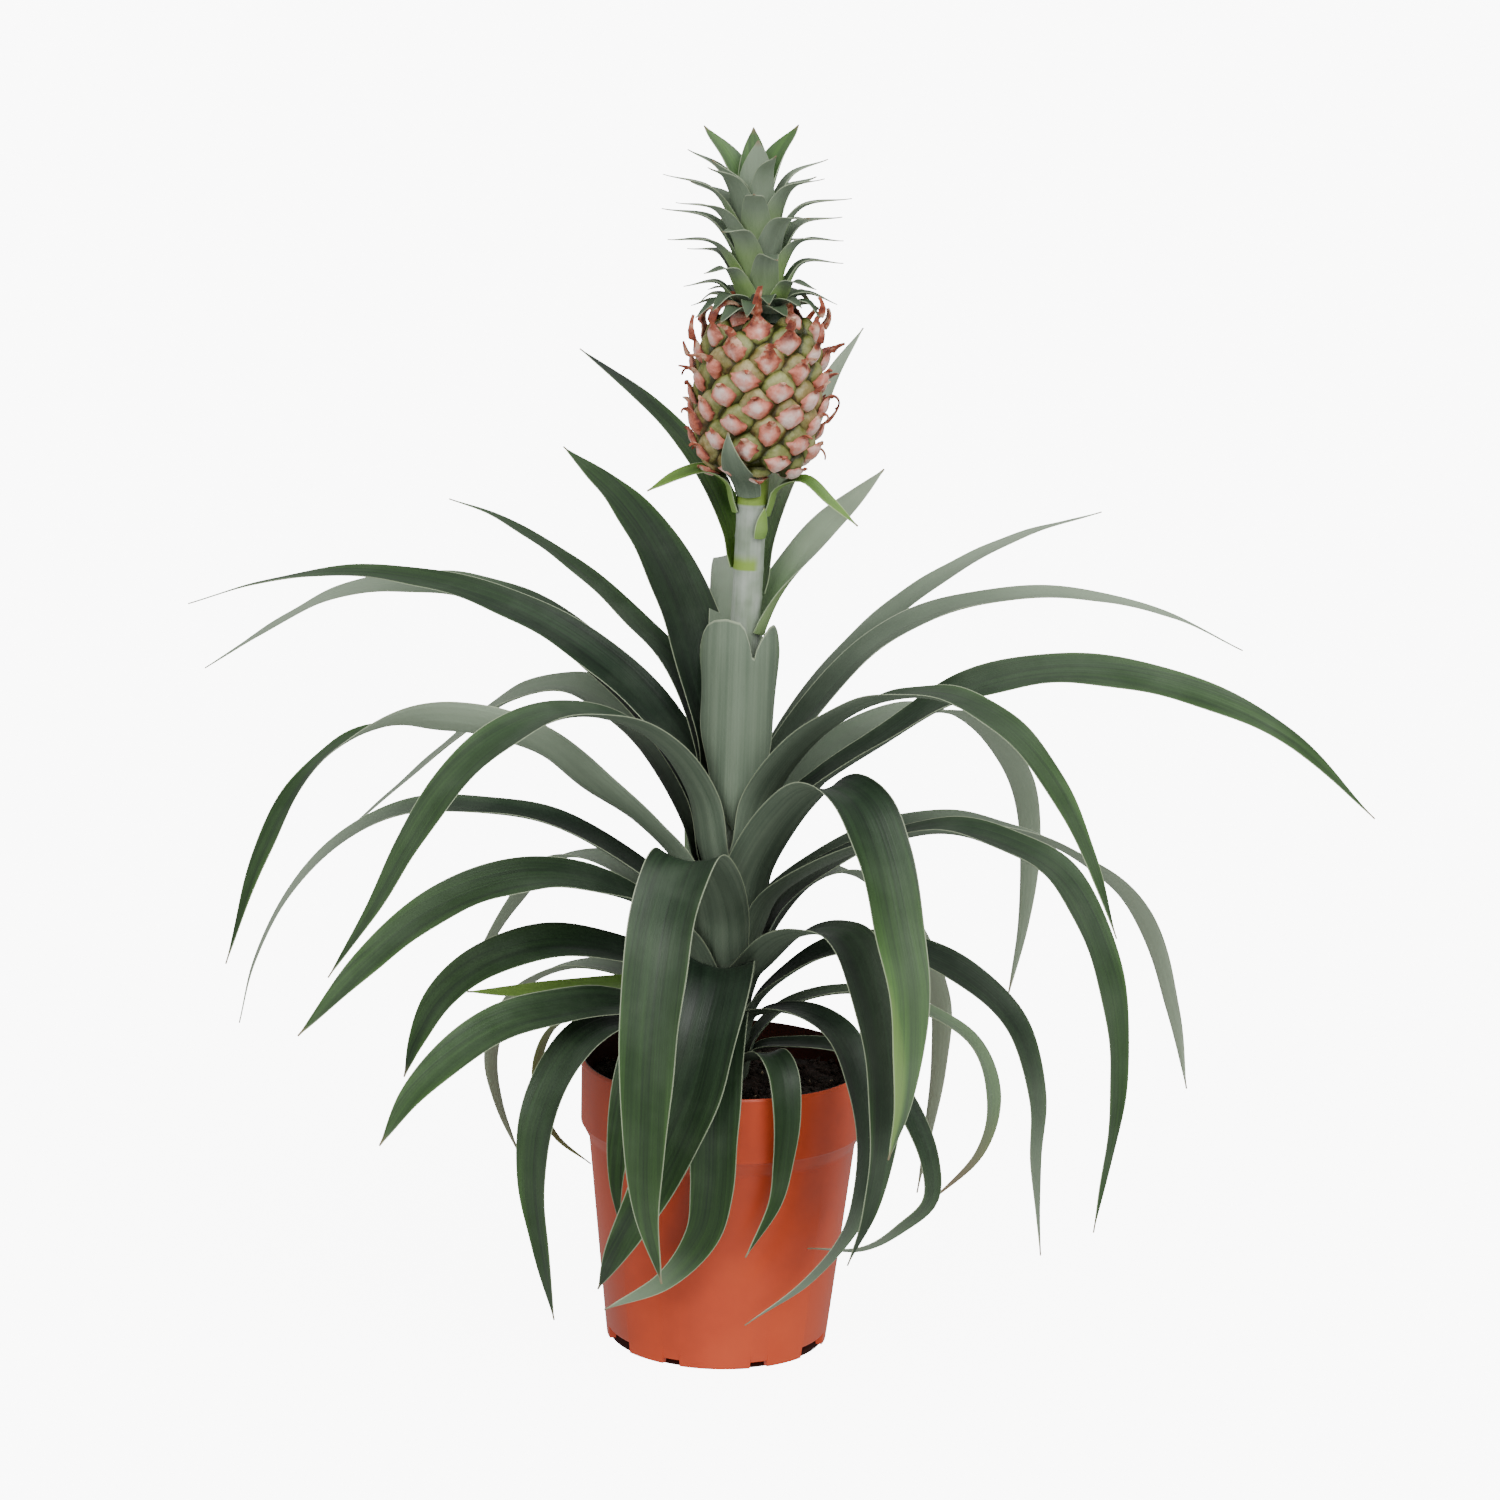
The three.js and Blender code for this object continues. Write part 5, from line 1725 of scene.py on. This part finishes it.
@dataclass
class PottingSoil:
    """The soil in the pot: a lumpy top strewn with crumbs and a few pale grains.

    Attributes:
        hole, outer: The radii of the stem's hole and of the soil's top.
        crumb_size, pale_size: How large the dark crumbs and the pale grains are.
        pale_share: How many of the crumbs are pale grains.
        wavelengths, steepness: The lumps' sizes, and their height as a share of those.
    """

    top: float = 108.5
    hole: float = 9.3
    outer: float = 58.0
    sides: int = 180
    crumbs: int = 900
    crumb_size: tuple[float, float] = (0.5, 1.9)
    pale_size: tuple[float, float] = (0.5, 0.9)
    pale_share: float = 0.035
    wavelengths: tuple[float, ...] = (34, 27, 21, 15, 12, 9, 7, 5.5, 4.2, 3.4, 2.8, 2.3)
    steepness: float = 0.028
    seed: int = 8

    def relief(self, x: Array, y: Array) -> Array:
        """Add up sine waves in random directions, each as high as a share of its wavelength.

        Args:
            x: Places across.
            y: Places towards the back.

        Returns:
            The soil's height over its mean there.
        """
        draw = np.random.default_rng(self.seed)
        total = np.zeros_like(x)
        for wavelength in self.wavelengths:
            heading, phase = draw.uniform(0, 2 * np.pi, 2)
            along = x * math.cos(heading) + y * math.sin(heading)
            total += self.steepness * wavelength * np.sin(2 * np.pi * along / wavelength + phase)
        return total

    def bed(self) -> Mesh:
        """Turn the bed of soil, down to the pot's floor, and raise its top by the relief.

        Returns:
            The closed mesh, without pale grains.
        """
        beside_wall = [(38, 6.8), (43.6, 6.8), (53.6, 88.8), (self.outer - 0.8, 96.0),
                       (self.outer, self.top - 1.5)]
        surface = [(radius, self.top) for radius in np.linspace(self.outer, 4, 60)[1:]]
        mesh = turned(np.array(beside_wall + surface), around_axis(self.sides))
        x, y, z = mesh.points.T
        lifted = z > self.top - 1
        mesh.points[lifted, 2] += self.relief(x, y)[lifted]
        mesh.values = {"pale_grain": np.zeros(len(mesh.points))}
        return mesh

    def loose(self) -> Mesh:
        """Strew crumbs: six-sided grains of random size, turn and flatness.

        Formula: three rings of a ball, each corner moved in or out, stretched, turned and set on
        the bed, its middle a third of its size above it.

        Returns:
            All crumbs as one mesh, with a number that tells the pale ones.
        """
        draw = np.random.default_rng(self.seed + 1)
        angle = around_axis(6)
        ball = np.stack([np.stack([math.sin(a) * np.cos(angle), math.sin(a) * np.sin(angle),
                                   np.full(6, -math.cos(a))], -1) for a in (0.6, 1.57, 2.5)])
        grains = []
        for _ in range(self.crumbs):
            where = self.hole + 3 + (self.outer - self.hole - 5) * draw.uniform() ** 0.7
            azimuth = draw.uniform(0, 2 * np.pi)
            pale = draw.uniform() < self.pale_share
            size = draw.uniform(*(self.pale_size if pale else self.crumb_size))
            turn = np.linalg.qr(draw.normal(size=(3, 3)))[0]
            stretch = size * draw.uniform([0.7, 0.5, 0.4], [1.5, 1.0, 0.8])
            centre = np.array([where * math.cos(azimuth), where * math.sin(azimuth), 0])
            centre[2] = self.top + 0.35 * size + float(self.relief(centre[:1], centre[1:2])[0])
            shape = ball * draw.uniform(0.75, 1.2, ball.shape[:2])[..., None]
            grain = capped((shape * stretch) @ turn + centre)
            grain.values = {"pale_grain": np.full(len(grain.points), float(pale))}
            grains.append(grain)
        return Mesh.joined(grains)

    def build(self, finish: bpy.types.Material) -> None:
        """Make the bed and its loose crumbs, both in the soil's material."""
        make_piece("soil_bed", self.bed(), finish, ("soil",))
        make_piece("soil_crumbs", self.loose(), finish)


# The studio


@dataclass
class Studio:
    """A lit white table, broad soft light and a camera where the photograph was taken from.

    Attributes:
        eye: Where the camera stands, in metres; its angles are in degrees.
        lens, sensor: Its focal length and sensor width.
        floor_radius, shade_radius: The table's and the pot's shade's radii, in metres.
        glow, surroundings: How brightly the table and the surroundings shine.
        lamps: Each lamp's name, azimuth, elevation, spread and irradiance.
    """

    eye: tuple[float, float, float] = (0.0066, -1.75, 0.643)
    pitch_down: float = 12.55
    roll: float = 1.8
    lens: float = 104.2
    sensor: float = 36.0
    floor_radius: float = 30.0
    floor_sides: int = 64
    shade_radius: float = 0.0455
    glow: float = 8.5
    surroundings: float = 0.5
    lamps: tuple[tuple[str, float, float, float, float], ...] = (
        ("key_lamp", 38, 42, 45, 2.1), ("fill_lamp", -35, 28, 28, 1.1),
        ("top_lamp", 10, 80, 50, 0.8), ("table_glow", 10, -60, 70, 0.5))

    def camera(self) -> None:
        """Aim the camera by its pitch and roll."""
        data = bpy.data.cameras.new("photo_camera")
        data.lens, data.sensor_width, data.sensor_fit = self.lens, self.sensor, "AUTO"
        data.clip_start, data.clip_end = 0.05, 100
        camera = bpy.data.objects.new("photo_camera", data)
        bpy.context.scene.collection.objects.link(camera)
        tilt = Matrix.Rotation(math.radians(90 - self.pitch_down), 4, "X")
        camera.matrix_world = (Matrix.Translation(self.eye) @ tilt
                               @ Matrix.Rotation(math.radians(self.roll), 4, "Z"))
        bpy.context.scene.camera = camera

    def floor(self) -> None:
        """A wide table of white acrylic with a far round wall, lit from behind as in a studio.

        Its three rings of vertices are the pot's shade, the table's edge and the wall's top. The
        plant's light doesn't come from its mesh but from the surroundings and the lamps, one of
        which stands for its glow.
        """
        sides = self.floor_sides
        angle = around_axis(sides)
        circle = np.stack([np.cos(angle), np.sin(angle), 0 * angle], -1)
        ring = self.floor_radius * circle
        top = ring + np.array([0, 0, self.floor_radius])
        points = np.concatenate([self.shade_radius * circle, ring, top])
        data = bpy.data.meshes.new("studio_floor")
        data.from_pydata(points.tolist(), [],
                         [list(range(sides))] + grid_faces(3, sides, around=True).tolist())
        data.polygons.foreach_set("material_index", np.arange(len(data.polygons)) == 0)
        floor = bpy.data.objects.new("studio_floor", data)
        bpy.context.scene.collection.objects.link(floor)
        floor.visible_diffuse = floor.visible_glossy = floor.visible_shadow = False
        for name, settings in (
                ("lit_white_table", {"Base Color": linear("f4f4f2"), "Roughness": 0.9,
                                     "Emission Color": linear("ffffff"),
                                     "Emission Strength": self.glow}),
                ("table_in_the_pots_shade", {"Base Color": linear("2a1a14"), "Roughness": 0.9})):
            floor.data.materials.append(Graph(name).surface(settings))

    def lamp(self, name: str, azimuth: float, elevation: float, spread: float,
             irradiance: float) -> None:
        """A far broad lamp.

        Args:
            name: The lamp's name.
            azimuth: Where it stands, in degrees from the front towards the right.
            elevation: Its height over the horizon, in degrees.
            spread: The angle that it fills, in degrees.
            irradiance: Watts for each square metre that faces it.
        """
        data = bpy.data.lights.new(name, "SUN")
        data.energy, data.angle = irradiance, math.radians(spread)
        light = bpy.data.objects.new(name, data)
        bpy.context.scene.collection.objects.link(light)
        light.rotation_euler = (math.radians(90 - elevation), 0, math.radians(azimuth))

    def light(self) -> None:
        """Even pale surroundings, a key from the right, a weaker fill, a top lamp and a glow."""
        world = bpy.data.worlds.new("white_studio")
        bpy.context.scene.world = world
        world.use_nodes = True
        background = world.node_tree.nodes["Background"]
        background.inputs["Color"].default_value = (1, 1, 1, 1)
        background.inputs["Strength"].default_value = self.surroundings
        for lamp in self.lamps:
            self.lamp(*lamp)

    def build(self) -> None:
        """Set the whole studio up."""
        self.camera()
        self.floor()
        self.light()


def main() -> None:
    """Build the studio and every piece."""
    logging.basicConfig(level=logging.INFO, format="%(name)s: %(message)s")
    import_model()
    Studio().build()
    leaf = LeafFinish().build()
    NurseryPot().build(PotFinish().build())
    PottingSoil().build(SoilFinish().build())
    Stem().build(StemFinish().build())
    Leaves().build(leaf)
    Fruit().build(FruitFinish().build())
    LeafyTop().build(leaf)


if __name__ == "__main__":
    main()
